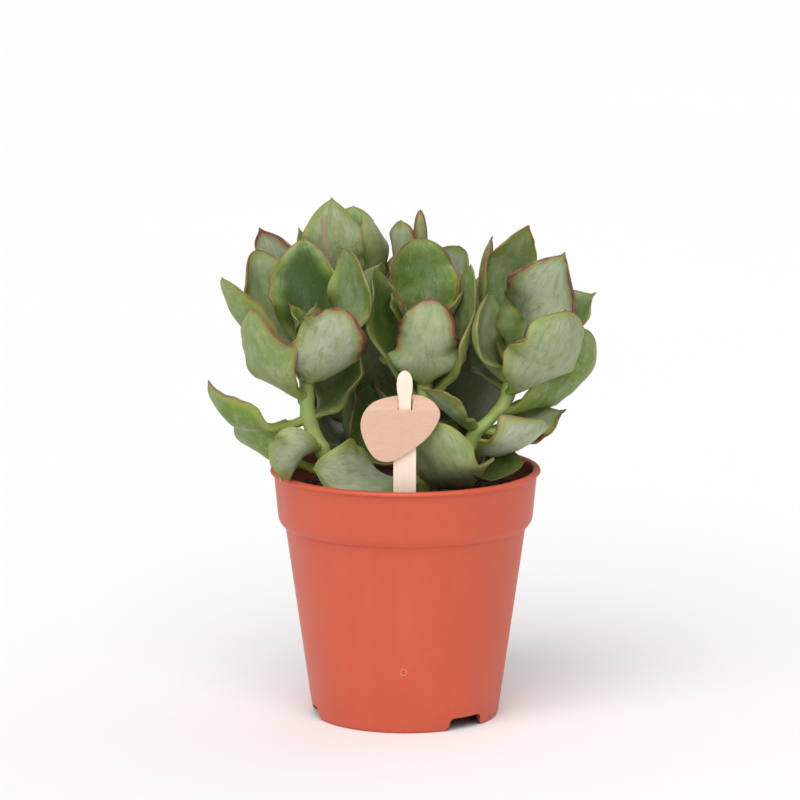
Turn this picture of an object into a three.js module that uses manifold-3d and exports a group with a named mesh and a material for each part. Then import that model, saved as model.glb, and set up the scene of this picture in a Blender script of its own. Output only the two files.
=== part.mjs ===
// A potted silver jade plant: six leafy stems of a curly, thick-leaved succulent in a thin
// terracotta-coloured plastic nursery pot full of potting soil, with a plain wooden tag threaded
// on a flat wooden pick. Millimetres, +Z up, the origin on the pot's axis at the surface that the
// pot stands on, and -Y towards the side that the tag faces.
import * as THREE from "three";
import { mergeVertices } from "three/addons/utils/BufferGeometryUtils.js";
import Module from "manifold-3d";

const wasm = await Module();
wasm.setup();

// Pot: a round, tapered, thin-walled pot with a stepped-out collar and a rolled lip
const POT_HEIGHT = 83.5;
const RIM_RADIUS = 45; // outside of the lip
const LIP_HEIGHT = 2.4;
const LIP_OUT = 1.2;
const LIP_SLOPE = 0.8; // height of the slope under the lip
const LIP_ROUND_IN = 0.5; // the lip's broken top edge
const LIP_ROUND_DOWN = 0.6;
const COLLAR_RADIUS_TOP = RIM_RADIUS - LIP_OUT;
const COLLAR_RADIUS_FOOT = 42.4;
const COLLAR_FOOT = 66.5; // where the collar starts to turn in
const COLLAR_TURN_IN = 0.5; // first, short stretch of that turn
const COLLAR_TURN_DOWN = 1.6;
const STEP_FOOT = 62.5; // where the turn meets the wall
const WALL_RADIUS_TOP = 40.1;
const FOOT_RADIUS = 31;
const WALL = 1.2;
const FOOT_WALL = 1.6;
const INNER_DROP = 0.6; // how much lower the wall turns inside than outside
const FLOOR_UNDERSIDE = 4.6;
const FLOOR_TOP = FLOOR_UNDERSIDE + WALL;
const POT_SIDES = 40;
const NOTCH_COUNT = 3;
const NOTCH_FIRST = -50; // degrees round the pot, from +X
const NOTCH_ARC = 25;
const NOTCH_HEIGHT = 4.2;
const DRAIN_RADIUS = 3.5;
const DRAIN_SIDES = 12;
const DRAIN_RING = 19; // from the pot's axis
const CUT_LENGTH = 12; // of a cutting block or rod, more than any wall is thick

// Potting soil
const SEAT_GAP = 0.3; // between pieces that touch
const SOIL_EDGE = 75;
const SOIL_CROWN = 77.5;
const SOIL_LIFT = 0.25; // how much higher the soil turns than the wall inside it
const SOIL_SHOULDER_OUT = 0.55; // share of the radius, and share of the rise, at the shoulder
const SOIL_SHOULDER_UP = 0.75;

// Flat wooden pick, and the thin wooden tag that hangs on it by a slot
const PICK_X = -0.3;
const PICK_Y = -36.4;
const PICK_THICK = 1.2;
const PICK_BODY_WIDTH = 7.4;
const PICK_NECK_WIDTH = 4.2;
const PICK_HEAD_WIDTH = 5.2;
const PICK_TOP = 122.2;
const PICK_HEAD_MIDDLE = 118;
const PICK_NECK = 114; // where the head ends
const PICK_SHOULDER = 105; // where the body has its full width
const PICK_TIP = 54;
const PICK_TAPER = 10; // height of the pointed foot
const PICK_SHOULDER_SLOPE = 2;
const PICK_HEAD_SLOPE = 1;
const PICK_ROUND_STEPS = 10;
const TAG_THICK = 0.9;
const TAG_SLOT_WIDTH = 5;
const TAG_SLOT_FOOT = 109.4;
const TAG_SLOT_TOP = 112.8;
const TAG_SWING = 1.45; // how far the flexed tag's middle is from the pick's, before it and behind it
const TAG_BEND = 0.8; // over how much height the tag changes sides
// Rounded corners and sides of the tag, in X and Z, counter-clockwise from the left one
const TAG_OUTLINE = [
  [-14.6, 105.5], [-13, 98.6], [-9.6, 93.9], [-5.5, 92.9], [-0.4, 95.2],
  [8.2, 102.4], [11.2, 109.6], [6.5, 114.2], [-2.6, 114.7], [-12.1, 111.3],
];
const TAG_OUTLINE_STEPS = 240;
const TAG_END = 0.1; // the lowest and highest rows lie this far inside the outline
// Rows of the tag as shares of the heights below its slot, along the slot and above it
const TAG_ROWS_BELOW = [0, 0.06, 0.15, 0.3, 0.45, 0.6, 0.75, 0.9];
const TAG_ROWS_SLOT = [0, 0.3, 0.5, 0.7, 1];
const TAG_ROWS_ABOVE = [0.4, 0.8, 1];

// Stems and leaves
const STEM_SIDES = 7;
const STEM_ROWS = 6;
const STEM_RADIUS_FOOT = 3.6;
const STEM_RADIUS_TOP = 2.2;
const STEM_DEPTH = 24; // how deep a stem stands in the soil
const LEAF_NUMBERS_PER_STEM = 100; // leaves are numbered for their random draws
const LEAF_THICK_ROOT = 3.4;
const LEAF_THICK_TIP = 1.7;
const LEAF_EDGE = 0.36; // thickness at the margin, as a share of that at the midrib
const LEAF_ROOT_WIDTH = 0.2; // as a share of the leaf's full width
const LEAF_ROOT_OUT = 0.9; // from the stem's middle line
const LEAF_WIDEST = 0.52; // place of the full width along the leaf
const LEAF_NARROWS = 0.5; // where the outline starts to close towards the tip
const TIP_FULLNESS = 2.3; // how late it closes, and how blunt it ends
const TIP_BLUNTNESS = 0.58;
const LEAF_ACROSS = [-1, -0.5, 0, 0.5, 1]; // columns and rows of points on a leaf
const LEAF_ROWS = [0, 0.2, 0.38, 0.56, 0.74, 0.9, 1];
const SMALL_LEAF = 24; // a leaf shorter than this is thinner and has fewer rows
const SMALL_LEAF_THICK = 0.6;
const SMALL_LEAF_ROWS = [0, 0.3, 0.6, 0.88, 1];
const SPINE_STEPS = 24;
const CURL_LATENESS = 1.15; // how late along the leaf it curls up
const CUP = [0.5, 0.95]; // least and most bend from the midrib to a margin, in radians
const CUP_AT_ENDS = 0.35; // share of the cup that doesn't fade with the leaf's width
const SWERVE = 0.07; // the most that a midrib wanders sideways, in radians
const ROLL_EARLINESS = 1.5; // a leaf is fully rolled at 1 / this of its length
const RIPPLE = [0.07, 0.12]; // least and most height of the ripples, as a share of the width
const WAVES = 1.4; // ripples along each margin
const WAVE_FADE = 1.8; // how fast they die away towards the midrib
const WAVE_ENDS = 0.6; // how fast they grow from the leaf's ends
const WAVE_LAG = 1.7; // between the ripples of the two margins, in radians

// A stem has a way, the points that its middle passes from where it leaves the soil to its tip,
// and its pairs of leaves from the lowest up, some of which have lost a leaf. A pair is [height,
// leaf, opposite leaf] and a leaf is [bearing, rise, curl, length, width, roll]: the way that it
// points, its slope where it leaves the stem, how much steeper it is at its tip, its size, and how
// far it is rolled about its own midrib. Angles are in degrees, and a bearing of -90 points to the
// tag's side, 0 to +X. A seventh value is the place of the full width along that leaf.
const STEMS = {
  stem_left: {
    way: [[-22, -10, 79], [-27, -10, 90], [-32, -9, 102], [-32, -8, 129]],
    pairs: [
      [84.5, [162, -1, 56, 38, 27, 51]],
      [92.5, [-120, 4, -18, 29, 16.5, 109]],
      [101.5, [180, -27, 100, 38.8, 15.5, 42], [22, 27, 92, 33.5, 23.5, 40]],
      [109, [-138, 20, 78, 40.5, 20, 18]],
      [114.5, [-69, 22, 64, 36.5, 24.5, -34, 0.45], [137, 39, 49, 48, 22, -15]],
      [118, [-158, 30, 42, 42.5, 13, 36], [-6, 36, 83, 46, 18, 62]],
      [122, [96, 71, 13, 39, 25.5, -12], [-75, 60, 20, 12, 8]],
      [127, [-68, 44, 45, 15, 9], [150, 60, 20, 13, 9]],
    ],
  },
  stem_middle: {
    way: [[5, -6, 79], [6, -4, 104], [7, -3, 130]],
    pairs: [
      [80, [-153, 1, 21, 39, 25, -49], [45, 30, 40, 24, 18]],
      [94, [150, 30, 40, 26, 18]],
      [105, [-8, 50, 50, 51, 22, 30], [176, 52, 43, 49.5, 23, -25]],
      [112.6, [-92, 40, 74, 33, 22, -6, 0.39], [95, 30, 45, 27, 20]],
      [122, [98, 63, 22, 39, 28], [-80, 60, 20, 12, 8]],
      [128, [-166, 44, 30, 22, 9], [-15, 40, 30, 19, 9]],
    ],
  },
  stem_right: {
    way: [[17, -9, 79], [22, -9, 95], [33, -7, 107], [36, -4, 126]],
    pairs: [
      [80, [-104, 3, 90, 39.5, 29.5, -14]],
      [82, [-25, -2, 45, 23, 22, 40]],
      [91, [-33, -2, 60, 32, 23, -25]],
      [98, [11, -18, 63, 29, 20, 21], [-151, 29, 20, 26, 17]],
      [104, [7, 3, 91, 42.4, 22, -76]],
      [110.5, [-45, 19, 66, 41, 29.5, -19, 0.42], [125, 20, 60, 30, 22]],
      [114, [16, 42, 11, 38.5, 31.5, 18], [-156, 30, 101, 34.5, 18.5, -62]],
      [119, [-16, 60, 14, 40.5, 31, 72], [160, 53, 60, 44, 13]],
      [124, [115, 62, 87, 46.5, 19.5, -19], [-98, 48, 30, 19, 10]],
    ],
  },
  stem_back_left: {
    way: [[-16, 14, 79], [-20, 20, 110], [-21, 22, 141]],
    pairs: [
      [84, [140, 20, 50, 34, 22]],
      [94, [97, 12, 55, 32, 20]],
      [108, [165, 10, 60, 38, 24]],
      [114, [90, 20, 60, 38, 26]],
      [119, [-47, 41, 50, 36, 24], [140, 30, 60, 36, 24]],
      [126, [-160, 38, 30, 46, 24, 45], [50, 35, 60, 36, 24]],
      [131, [-5, 37, 94, 39.5, 19.5, -27], [155, 45, 40, 32, 20]],
      [137, [-102, 38, 79, 38.5, 22, 7], [80, 50, 40, 32, 22]],
      [140, [-170, 55, 30, 14, 8], [0, 55, 30, 14, 8]],
    ],
  },
  stem_back_middle: {
    way: [[6, 14, 79], [5, 20, 110], [4, 22, 140]],
    pairs: [
      [84, [-156, 11, 93, 35.5, 30, -80]],
      [98, [90, 10, 60, 36, 24]],
      [100, [-145, 38, 60, 36, 26, 65]],
      [109, [-10, 30, 55, 22, 16], [175, 30, 55, 18, 14]],
      [122, [95, 25, 60, 38, 26]],
      [130, [-10, 45, 38, 29, 25.5, 56], [165, 45, 40, 17, 13]],
      [136, [-138, 55, 40, 30, 17], [70, 28, 50, 24, 18]],
      [139, [-84, 57, 50, 30, 5.5], [110, 55, 30, 18, 10]],
    ],
  },
  stem_back_right: {
    way: [[22, 16, 79], [28, 25, 105], [29, 27, 128]],
    pairs: [
      [84, [25, 10, 60, 34, 22], [110, 20, 50, 26, 18]],
      [88, [-93, 55, 60, 42, 26, 20]],
      [98, [80, 18, 70, 30, 24]],
      [108, [5, 15, 60, 34, 24], [150, 30, 55, 22, 16]],
      [115, [75, 30, 60, 35, 26]],
      [119, [-30, 25, 50, 32, 22], [145, 40, 50, 21, 16]],
      [123, [30, 45, 40, 32, 20]],
      [126, [95, 55, 30, 19, 15], [-100, 50, 30, 14, 9]],
    ],
  },
};

const rad = THREE.MathUtils.degToRad;
const mix = THREE.MathUtils.lerp;
const smooth = (value) => THREE.MathUtils.smoothstep(value, 0, 1);
const between = ([least, most], share) => mix(least, most, share);
const UP = new THREE.Vector3(0, 0, 1);
const NO_BEND = 1e-6; // keeps a straight midrib from dividing by nothing

// A repeatable draw from 0 to 1 for a leaf's number and the thing that varies
function draw(number, thing) {
  const wild = Math.abs(Math.sin(number * 12.9898 + thing * 78.233)) * 43758.5453;
  return wild - Math.floor(wild);
}

// A geometry as a solid that can be joined and cut
function solidOf(geometry) {
  const bare = new THREE.BufferGeometry();
  bare.setAttribute("position", geometry.getAttribute("position").clone());
  bare.setIndex(geometry.index);
  const merged = mergeVertices(bare, 1e-4);
  return new wasm.Manifold(
    new wasm.Mesh({
      numProp: 3,
      vertProperties: merged.getAttribute("position").array,
      triVerts: new Uint32Array(merged.index.array),
    }),
  );
}

// A solid back as a geometry
function geometryOf(solid) {
  const mesh = solid.getMesh();
  const geometry = new THREE.BufferGeometry();
  const position = new Float32Array(mesh.numVert * 3);
  for (let i = 0; i < mesh.numVert; i += 1) {
    const from = i * mesh.numProp;
    position.set(mesh.vertProperties.subarray(from, from + 3), i * 3);
  }
  geometry.setAttribute("position", new THREE.BufferAttribute(position, 3));
  geometry.setIndex(new THREE.BufferAttribute(mesh.triVerts, 1));
  geometry.computeVertexNormals();
  return geometry;
}

// A closed body through rings of points, each ring counter-clockwise when seen from the last one.
// Past the ring's half its quads are split the other way, so that both faces of a blade match.
// The end rings are closed by strips from one half to the other.
function loft(rings) {
  const count = rings[0].length;
  const position = rings.flat().flatMap((p) => [p.x, p.y, p.z]);
  const index = [];
  for (let row = 0; row + 1 < rings.length; row += 1) {
    for (let k = 0; k < count; k += 1) {
      const a = row * count + k;
      const b = row * count + ((k + 1) % count);
      const c = a + count;
      const d = b + count;
      if (k < count / 2) index.push(a, b, d, a, d, c);
      else index.push(a, b, c, b, d, c);
    }
  }
  const last = (rings.length - 1) * count;
  const half = count / 2;
  for (let k = 0; k + 1 < half; k += 1) {
    const [a, b, c, d] = [k, k + 1, count - 2 - k, count - 1 - k];
    index.push(a, d, c, a, c, b);
    index.push(last + a, last + c, last + d, last + a, last + b, last + c);
  }
  const geometry = new THREE.BufferGeometry();
  geometry.setAttribute("position", new THREE.Float32BufferAttribute(position, 3));
  geometry.setIndex(index);
  return geometry;
}

// A plate of a flat outline, its thickness along Y about y, its outline drawn in X and Z
function plate(shape, thick, y) {
  const geometry = new THREE.ExtrudeGeometry(shape, {
    depth: thick,
    bevelEnabled: false,
    curveSegments: PICK_ROUND_STEPS,
  });
  geometry.translate(0, 0, -thick / 2);
  geometry.rotateX(Math.PI / 2);
  geometry.translate(0, y, 0);
  return geometry;
}

// The radius of the wall's outside at a height
function wallRadius(z) {
  return mix(FOOT_RADIUS, WALL_RADIUS_TOP, z / STEP_FOOT);
}

// A solid turned about the pot's axis from a profile of [radius, height] points
function turned(profile) {
  const points = profile.map(([radius, height]) => new THREE.Vector2(radius, height));
  return solidOf(new THREE.LatheGeometry(points, POT_SIDES).rotateX(Math.PI / 2));
}

function pot() {
  const profile = [
    [0, FLOOR_UNDERSIDE],
    [FOOT_RADIUS - FOOT_WALL, FLOOR_UNDERSIDE],
    [FOOT_RADIUS - FOOT_WALL, 0],
    [FOOT_RADIUS, 0],
    [WALL_RADIUS_TOP, STEP_FOOT],
    [COLLAR_RADIUS_FOOT - COLLAR_TURN_IN, COLLAR_FOOT - COLLAR_TURN_DOWN],
    [COLLAR_RADIUS_FOOT, COLLAR_FOOT],
    [COLLAR_RADIUS_TOP, POT_HEIGHT - LIP_HEIGHT],
    [RIM_RADIUS, POT_HEIGHT - LIP_HEIGHT + LIP_SLOPE],
    [RIM_RADIUS, POT_HEIGHT - LIP_ROUND_DOWN],
    [RIM_RADIUS - LIP_ROUND_IN, POT_HEIGHT],
    [COLLAR_RADIUS_TOP - WALL, POT_HEIGHT],
    [COLLAR_RADIUS_FOOT - WALL, COLLAR_FOOT - INNER_DROP],
    [WALL_RADIUS_TOP - WALL, STEP_FOOT - INNER_DROP],
    [wallRadius(FLOOR_TOP) - WALL, FLOOR_TOP],
    [0, FLOOR_TOP],
  ];
  let solid = turned(profile);
  const width = 2 * FOOT_RADIUS * Math.sin(rad(NOTCH_ARC / 2));
  for (let i = 0; i < NOTCH_COUNT; i += 1) {
    const bearing = rad(NOTCH_FIRST + (i * 360) / NOTCH_COUNT);
    const block = new THREE.BoxGeometry(CUT_LENGTH, width, NOTCH_HEIGHT * 2);
    block.translate(FOOT_RADIUS, 0, 0).rotateZ(bearing);
    solid = solid.subtract(solidOf(block));
    const rod = new THREE.CylinderGeometry(DRAIN_RADIUS, DRAIN_RADIUS, CUT_LENGTH, DRAIN_SIDES);
    rod.rotateX(Math.PI / 2).translate(DRAIN_RING, 0, FLOOR_TOP).rotateZ(bearing);
    solid = solid.subtract(solidOf(rod));
  }
  return solid;
}

// The stem's middle line, from its end in the soil to its tip
function stemLine({ way }) {
  const [x, y] = way[0];
  const points = [[x, y, SOIL_EDGE - STEM_DEPTH], ...way];
  return new THREE.CatmullRomCurve3(points.map((point) => new THREE.Vector3(...point)));
}

// The point of a stem's middle line at a height
function stemPoint(line, height) {
  let low = 0;
  let high = 1;
  while (high - low > 1e-4) {
    const middle = (low + high) / 2;
    if (line.getPoint(middle).z < height) low = middle;
    else high = middle;
  }
  return line.getPoint(low);
}

// A stem along its line, or with extra given the hole that it stands in
function stemSolid(line, extra = 0) {
  const rings = [];
  for (let row = 0; row <= STEM_ROWS; row += 1) {
    const share = row / STEM_ROWS;
    const middle = line.getPoint(share);
    if (row === 0) middle.z -= extra;
    const radius = mix(STEM_RADIUS_FOOT, STEM_RADIUS_TOP, share) + extra;
    const ring = [];
    for (let k = 0; k < STEM_SIDES; k += 1) {
      const turn = (k / STEM_SIDES) * 2 * Math.PI;
      ring.push(new THREE.Vector3(
        middle.x + radius * Math.cos(turn), middle.y + radius * Math.sin(turn), middle.z,
      ));
    }
    rings.push(ring);
  }
  return solidOf(loft(rings));
}

// The half width of a leaf along its length, as a share of its full half width
function leafOutline(along, widest) {
  const swell = mix(LEAF_ROOT_WIDTH, 1, smooth(along / widest));
  const past = Math.max(0, (along - LEAF_NARROWS) / (1 - LEAF_NARROWS));
  return swell * (1 - past ** TIP_FULLNESS) ** TIP_BLUNTNESS;
}

// The form of one leaf as a function of place: along from root to tip, across from -1 to 1
function leafForm(root, leaf, number) {
  const [bearing, rise, curl, length, width, roll = 0, widest = LEAF_WIDEST] = leaf;
  const outward = new THREE.Vector3(Math.cos(rad(bearing)), Math.sin(rad(bearing)), 0);
  const side = new THREE.Vector3().crossVectors(UP, outward);
  const cup = between(CUP, draw(number, 1));
  const ripple = between(RIPPLE, draw(number, 2)) * width;
  const phase = draw(number, 3) * 2 * Math.PI;
  const swerve = between([-SWERVE, SWERVE], draw(number, 4));
  const slope = (along) => rad(rise + curl * along ** CURL_LATENESS);
  const spine = [root.clone().addScaledVector(outward, LEAF_ROOT_OUT)];
  for (let i = 0; i < SPINE_STEPS; i += 1) {
    const along = (i + 0.5) / SPINE_STEPS;
    const angle = slope(along);
    const step = outward.clone().multiplyScalar(Math.cos(angle))
      .addScaledVector(UP, Math.sin(angle)).addScaledVector(side, Math.sin(2 * swerve * along));
    spine.push(spine[i].clone().addScaledVector(step, length / SPINE_STEPS));
  }
  return (along, across) => {
    const place = Math.min(along, 1) * SPINE_STEPS;
    const from = Math.min(Math.floor(place), SPINE_STEPS - 1);
    const middle = spine[from].clone().lerp(spine[from + 1], place - from);
    const angle = slope(along);
    const inward = outward.clone().multiplyScalar(-Math.sin(angle))
      .addScaledVector(UP, Math.cos(angle));
    const outline = leafOutline(along, widest);
    const reach = (width / 2) * outline * across;
    const cupped = cup * smooth(along * 2) * mix(CUP_AT_ENDS, 1, outline);
    const bend = cupped * across + NO_BEND;
    const flat = (reach * Math.sin(bend)) / bend;
    const lift = (reach * (1 - Math.cos(bend))) / bend;
    const lag = across > 0 ? WAVE_LAG : 0;
    const wave = ripple * Math.abs(across) ** WAVE_FADE * Math.sin(Math.PI * along) ** WAVE_ENDS
      * Math.sin(2 * Math.PI * WAVES * along + phase + lag);
    const tilt = rad(roll) * smooth(along * ROLL_EARLINESS);
    const out = flat * Math.cos(tilt) - (lift + wave) * Math.sin(tilt);
    const up = flat * Math.sin(tilt) + (lift + wave) * Math.cos(tilt);
    return middle.addScaledVector(side, out).addScaledVector(inward, up);
  };
}

// One leaf as a solid: its surface in rows from root to tip, made as thick as a leaf is there
function leafSolid(root, leaf, number) {
  const form = leafForm(root, leaf, number);
  const small = leaf[3] < SMALL_LEAF;
  const scale = small ? SMALL_LEAF_THICK : 1;
  const step = 0.02;
  const rings = (small ? SMALL_LEAF_ROWS : LEAF_ROWS).map((row) => {
    const along = THREE.MathUtils.clamp(row, step, 1 - step);
    const faces = LEAF_ACROSS.map((across) => {
      const middle = form(row, across);
      const ahead = form(along + step, across).sub(form(along - step, across));
      const aside = form(along, across + step).sub(form(along, across - step));
      const normal = ahead.cross(aside).normalize();
      const thick = scale * mix(LEAF_THICK_ROOT, LEAF_THICK_TIP, row)
        * mix(1, LEAF_EDGE, across ** 2);
      return [
        middle.clone().addScaledVector(normal, thick / 2),
        middle.clone().addScaledVector(normal, -thick / 2),
      ];
    });
    return [...faces.map((f) => f[1]), ...faces.map((f) => f[0]).reverse()];
  });
  return solidOf(loft(rings));
}

// A leafy stem as a list of solids, its stem first
function leafyStem(stem, firstNumber) {
  const line = stemLine(stem);
  const solids = [stemSolid(line)];
  let number = firstNumber;
  for (const [height, ...leaves] of stem.pairs) {
    for (const leaf of leaves) {
      solids.push(leafSolid(stemPoint(line, height), leaf, number));
      number += 1;
    }
  }
  return solids;
}

// The soil fills the pot, with a hole for each stem and a slit for the pick
function soil() {
  const collarInside = mix(COLLAR_RADIUS_FOOT, COLLAR_RADIUS_TOP,
    (SOIL_EDGE - COLLAR_FOOT) / (POT_HEIGHT - COLLAR_FOOT)) - WALL - SEAT_GAP;
  let solid = turned([
    [0, FLOOR_TOP + SEAT_GAP],
    [wallRadius(FLOOR_TOP) - WALL - SEAT_GAP, FLOOR_TOP + SEAT_GAP],
    [WALL_RADIUS_TOP - WALL - SEAT_GAP, STEP_FOOT - INNER_DROP + SOIL_LIFT],
    [COLLAR_RADIUS_FOOT - WALL - SEAT_GAP, COLLAR_FOOT - INNER_DROP + SOIL_LIFT],
    [collarInside, SOIL_EDGE],
    [collarInside * SOIL_SHOULDER_OUT, mix(SOIL_EDGE, SOIL_CROWN, SOIL_SHOULDER_UP)],
    [0, SOIL_CROWN],
  ]);
  for (const stem of Object.values(STEMS)) {
    solid = solid.subtract(stemSolid(stemLine(stem), SEAT_GAP));
  }
  const depth = SOIL_CROWN - PICK_TIP + SEAT_GAP;
  const slit = new THREE.BoxGeometry(
    PICK_BODY_WIDTH + 2 * SEAT_GAP, PICK_THICK + 2 * SEAT_GAP, depth,
  );
  slit.translate(PICK_X, PICK_Y, SOIL_CROWN - depth / 2);
  return solid.subtract(solidOf(slit));
}

// The pick: a round head on a narrow neck, a straight body and a pointed foot
function pick() {
  const shape = new THREE.Shape();
  const half = PICK_BODY_WIDTH / 2;
  const neck = PICK_NECK_WIDTH / 2;
  const head = PICK_HEAD_WIDTH / 2;
  shape.moveTo(0, PICK_TIP);
  shape.lineTo(half, PICK_TIP + PICK_TAPER);
  shape.lineTo(half, PICK_SHOULDER);
  shape.lineTo(neck, PICK_SHOULDER + PICK_SHOULDER_SLOPE);
  shape.lineTo(neck, PICK_NECK);
  shape.quadraticCurveTo(head, PICK_NECK + PICK_HEAD_SLOPE, head, PICK_HEAD_MIDDLE);
  shape.absellipse(0, PICK_HEAD_MIDDLE, head, PICK_TOP - PICK_HEAD_MIDDLE, 0, Math.PI, false);
  shape.quadraticCurveTo(-head, PICK_NECK + PICK_HEAD_SLOPE, -neck, PICK_NECK);
  shape.lineTo(-neck, PICK_SHOULDER + PICK_SHOULDER_SLOPE);
  shape.lineTo(-half, PICK_SHOULDER);
  shape.lineTo(-half, PICK_TIP + PICK_TAPER);
  shape.closePath();
  return solidOf(plate(shape, PICK_THICK, PICK_Y).translate(PICK_X, 0, 0));
}

// The tag in rows from its lowest point up. It is thin enough to flex: below its slot it hangs in
// front of the pick, and above it the strip that is left passes behind.
function tag() {
  const corners = TAG_OUTLINE.map(([x, z]) => new THREE.Vector3(x, 0, z));
  const outline = new THREE.CatmullRomCurve3(corners, true).getPoints(TAG_OUTLINE_STEPS);
  const heights = outline.map((point) => point.z);
  const foot = Math.min(...heights) + TAG_END;
  const top = Math.max(...heights) - TAG_END;
  const slotMiddle = (TAG_SLOT_FOOT + TAG_SLOT_TOP) / 2;
  const rows = [
    ...TAG_ROWS_BELOW.map((share) => mix(foot, TAG_SLOT_FOOT, share)),
    ...TAG_ROWS_SLOT.map((share) => mix(TAG_SLOT_FOOT, TAG_SLOT_TOP, share)),
    ...TAG_ROWS_ABOVE.map((share) => mix(TAG_SLOT_TOP, top, share)),
  ];
  const rings = rows.map((z) => {
    const across = [];
    outline.forEach((point, i) => {
      const next = outline[(i + 1) % outline.length];
      if ((point.z > z) === (next.z > z)) return;
      across.push(mix(point.x, next.x, (z - point.z) / (next.z - point.z)));
    });
    const y = PICK_Y + TAG_SWING * Math.tanh((z - slotMiddle) / TAG_BEND);
    const [left, right] = [Math.min(...across), Math.max(...across)];
    return [[left, -1], [right, -1], [right, 1], [left, 1]]
      .map(([x, face]) => new THREE.Vector3(x, y + (face * TAG_THICK) / 2, z));
  });
  const slot = new THREE.BoxGeometry(TAG_SLOT_WIDTH, CUT_LENGTH, TAG_SLOT_TOP - TAG_SLOT_FOOT);
  slot.translate(PICK_X, PICK_Y, slotMiddle);
  return solidOf(loft(rings)).subtract(solidOf(slot));
}

const LOOKS = {
  pot: { color: 0xd2603f, roughness: 0.5 },
  soil: { color: 0x3a2a20, roughness: 1 },
  pick: { color: 0xe6c6a6, roughness: 0.8 },
  tag: { color: 0xd6a584, roughness: 0.8 },
  leaf: { color: 0x8fa77c, roughness: 0.55 },
};

const group = new THREE.Group();

function add(name, solid, look) {
  const material = new THREE.MeshStandardMaterial({ ...look, metalness: 0 });
  const mesh = new THREE.Mesh(geometryOf(solid), material);
  mesh.name = name;
  group.add(mesh);
}

add("pot", pot(), LOOKS.pot);
add("soil", soil(), LOOKS.soil);
add("pick", pick(), LOOKS.pick);
add("tag", tag(), LOOKS.tag);
Object.entries(STEMS).forEach(([name, stem], i) => {
  const firstNumber = i * LEAF_NUMBERS_PER_STEM + 1;
  add(name, wasm.Manifold.union(leafyStem(stem, firstNumber)), LOOKS.leaf);
});

export default group;
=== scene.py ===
# A potted silver jade plant: six leafy stems of a curly, thick-leaved succulent in potting soil,
# in a terracotta-coloured plastic nursery pot, with a plain wooden tag on a flat wooden pick.
# The tables and the named sizes are in millimetres, as in the CAD model, and pieces in metres.
import math

import bmesh
import bpy
import numpy as np
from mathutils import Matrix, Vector, noise


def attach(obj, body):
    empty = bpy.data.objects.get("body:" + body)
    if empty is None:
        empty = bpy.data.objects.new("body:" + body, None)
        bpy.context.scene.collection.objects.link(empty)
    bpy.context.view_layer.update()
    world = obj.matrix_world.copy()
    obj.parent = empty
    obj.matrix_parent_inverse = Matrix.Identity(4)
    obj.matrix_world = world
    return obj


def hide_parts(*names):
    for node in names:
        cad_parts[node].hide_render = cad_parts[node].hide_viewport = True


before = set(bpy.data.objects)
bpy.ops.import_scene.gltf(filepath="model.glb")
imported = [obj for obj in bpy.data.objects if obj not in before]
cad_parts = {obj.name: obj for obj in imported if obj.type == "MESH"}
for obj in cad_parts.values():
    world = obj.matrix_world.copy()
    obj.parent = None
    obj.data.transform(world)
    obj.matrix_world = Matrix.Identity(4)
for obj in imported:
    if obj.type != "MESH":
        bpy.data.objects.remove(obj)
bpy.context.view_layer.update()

MM = 0.001

# Pot
POT_HEIGHT = 83.5
RIM_RADIUS = 45
LIP_HEIGHT = 1.7
LIP_OUT = 1.2
COLLAR_RADIUS_TOP = RIM_RADIUS - LIP_OUT
COLLAR_RADIUS_FOOT = 42.4
COLLAR_FOOT = 66.5
STEP_FOOT = 64.3
WALL_RADIUS_TOP = 40.1
FOOT_RADIUS = 31
WALL = 1.2
INNER_DROP = 0.6
FOOT_WALL = 1.6
FLOOR_UNDERSIDE = 4.6
FLOOR_TOP = FLOOR_UNDERSIDE + WALL
FLOOR_MIDDLE = 11
POT_SIDES = 180
NOTCH_BEARINGS = (-50, 70, 190)
NOTCH_WIDTH = 13.4
NOTCH_HEIGHT = 4.2
NOTCH_CORNER = 1.6
NOTCH_FLARE = 2.4
NOTCH_REACH = 6
DRAIN_RADIUS = 3.5
DRAIN_RING = 19
DRAIN_DEPTH = 12
WELD = 0.01

# The small ring and dot that the mould's inlet leaves on the pot's front
GATE_X = -0.6
GATE_HEIGHT = 21.5
GATE_WALL = FOOT_RADIUS + (WALL_RADIUS_TOP - FOOT_RADIUS) * GATE_HEIGHT / STEP_FOOT
GATE_RADIUS = 1.05
GATE_WIRE = 0.22
GATE_LEAN = 98.3
GATE_GAP = (-170, -55)
GATE_DOT = 0.32
GATE_DOT_DROP = 1.9

# Soil
SOIL_EDGE = 75
SOIL_CROWN = 77.5
SOIL_DEPTH = 24
SOIL_ROOM = 0.3
SOIL_FOOT = 12
SOIL_SIDES = 150
SOIL_RINGS = 46
CRUMBS = 520
CRUMB_BLANKS = 4
CRUMB_DRAWS = 3000

# Pick and tag
PICK_X = -0.3
PICK_Y = -36.4
PICK_THICK = 1.2
PICK_TIP = 54
PICK_HALF = 3.7
TAG_THICK = 0.9
TAG_POINTS = 160
TAG_SLOT_WIDTH = 5
TAG_SLOT_FOOT = 109.4
TAG_SLOT_TOP = 112.8
TAG_SLOT_MIDDLE = (TAG_SLOT_FOOT + TAG_SLOT_TOP) / 2
TAG_SLOT_TRIM = 0.28
TAG_SWING = 1.45
TAG_BEND = 0.8
TAG_OUTLINE = [
    (-14.6, 105.2), (-13, 98.3), (-9.6, 93.5), (-5.5, 92.5), (-0.4, 94.8),
    (8.2, 101.9), (11.1, 109), (6.4, 113.3), (-2.6, 113.8), (-12.1, 110.6),
]

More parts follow.
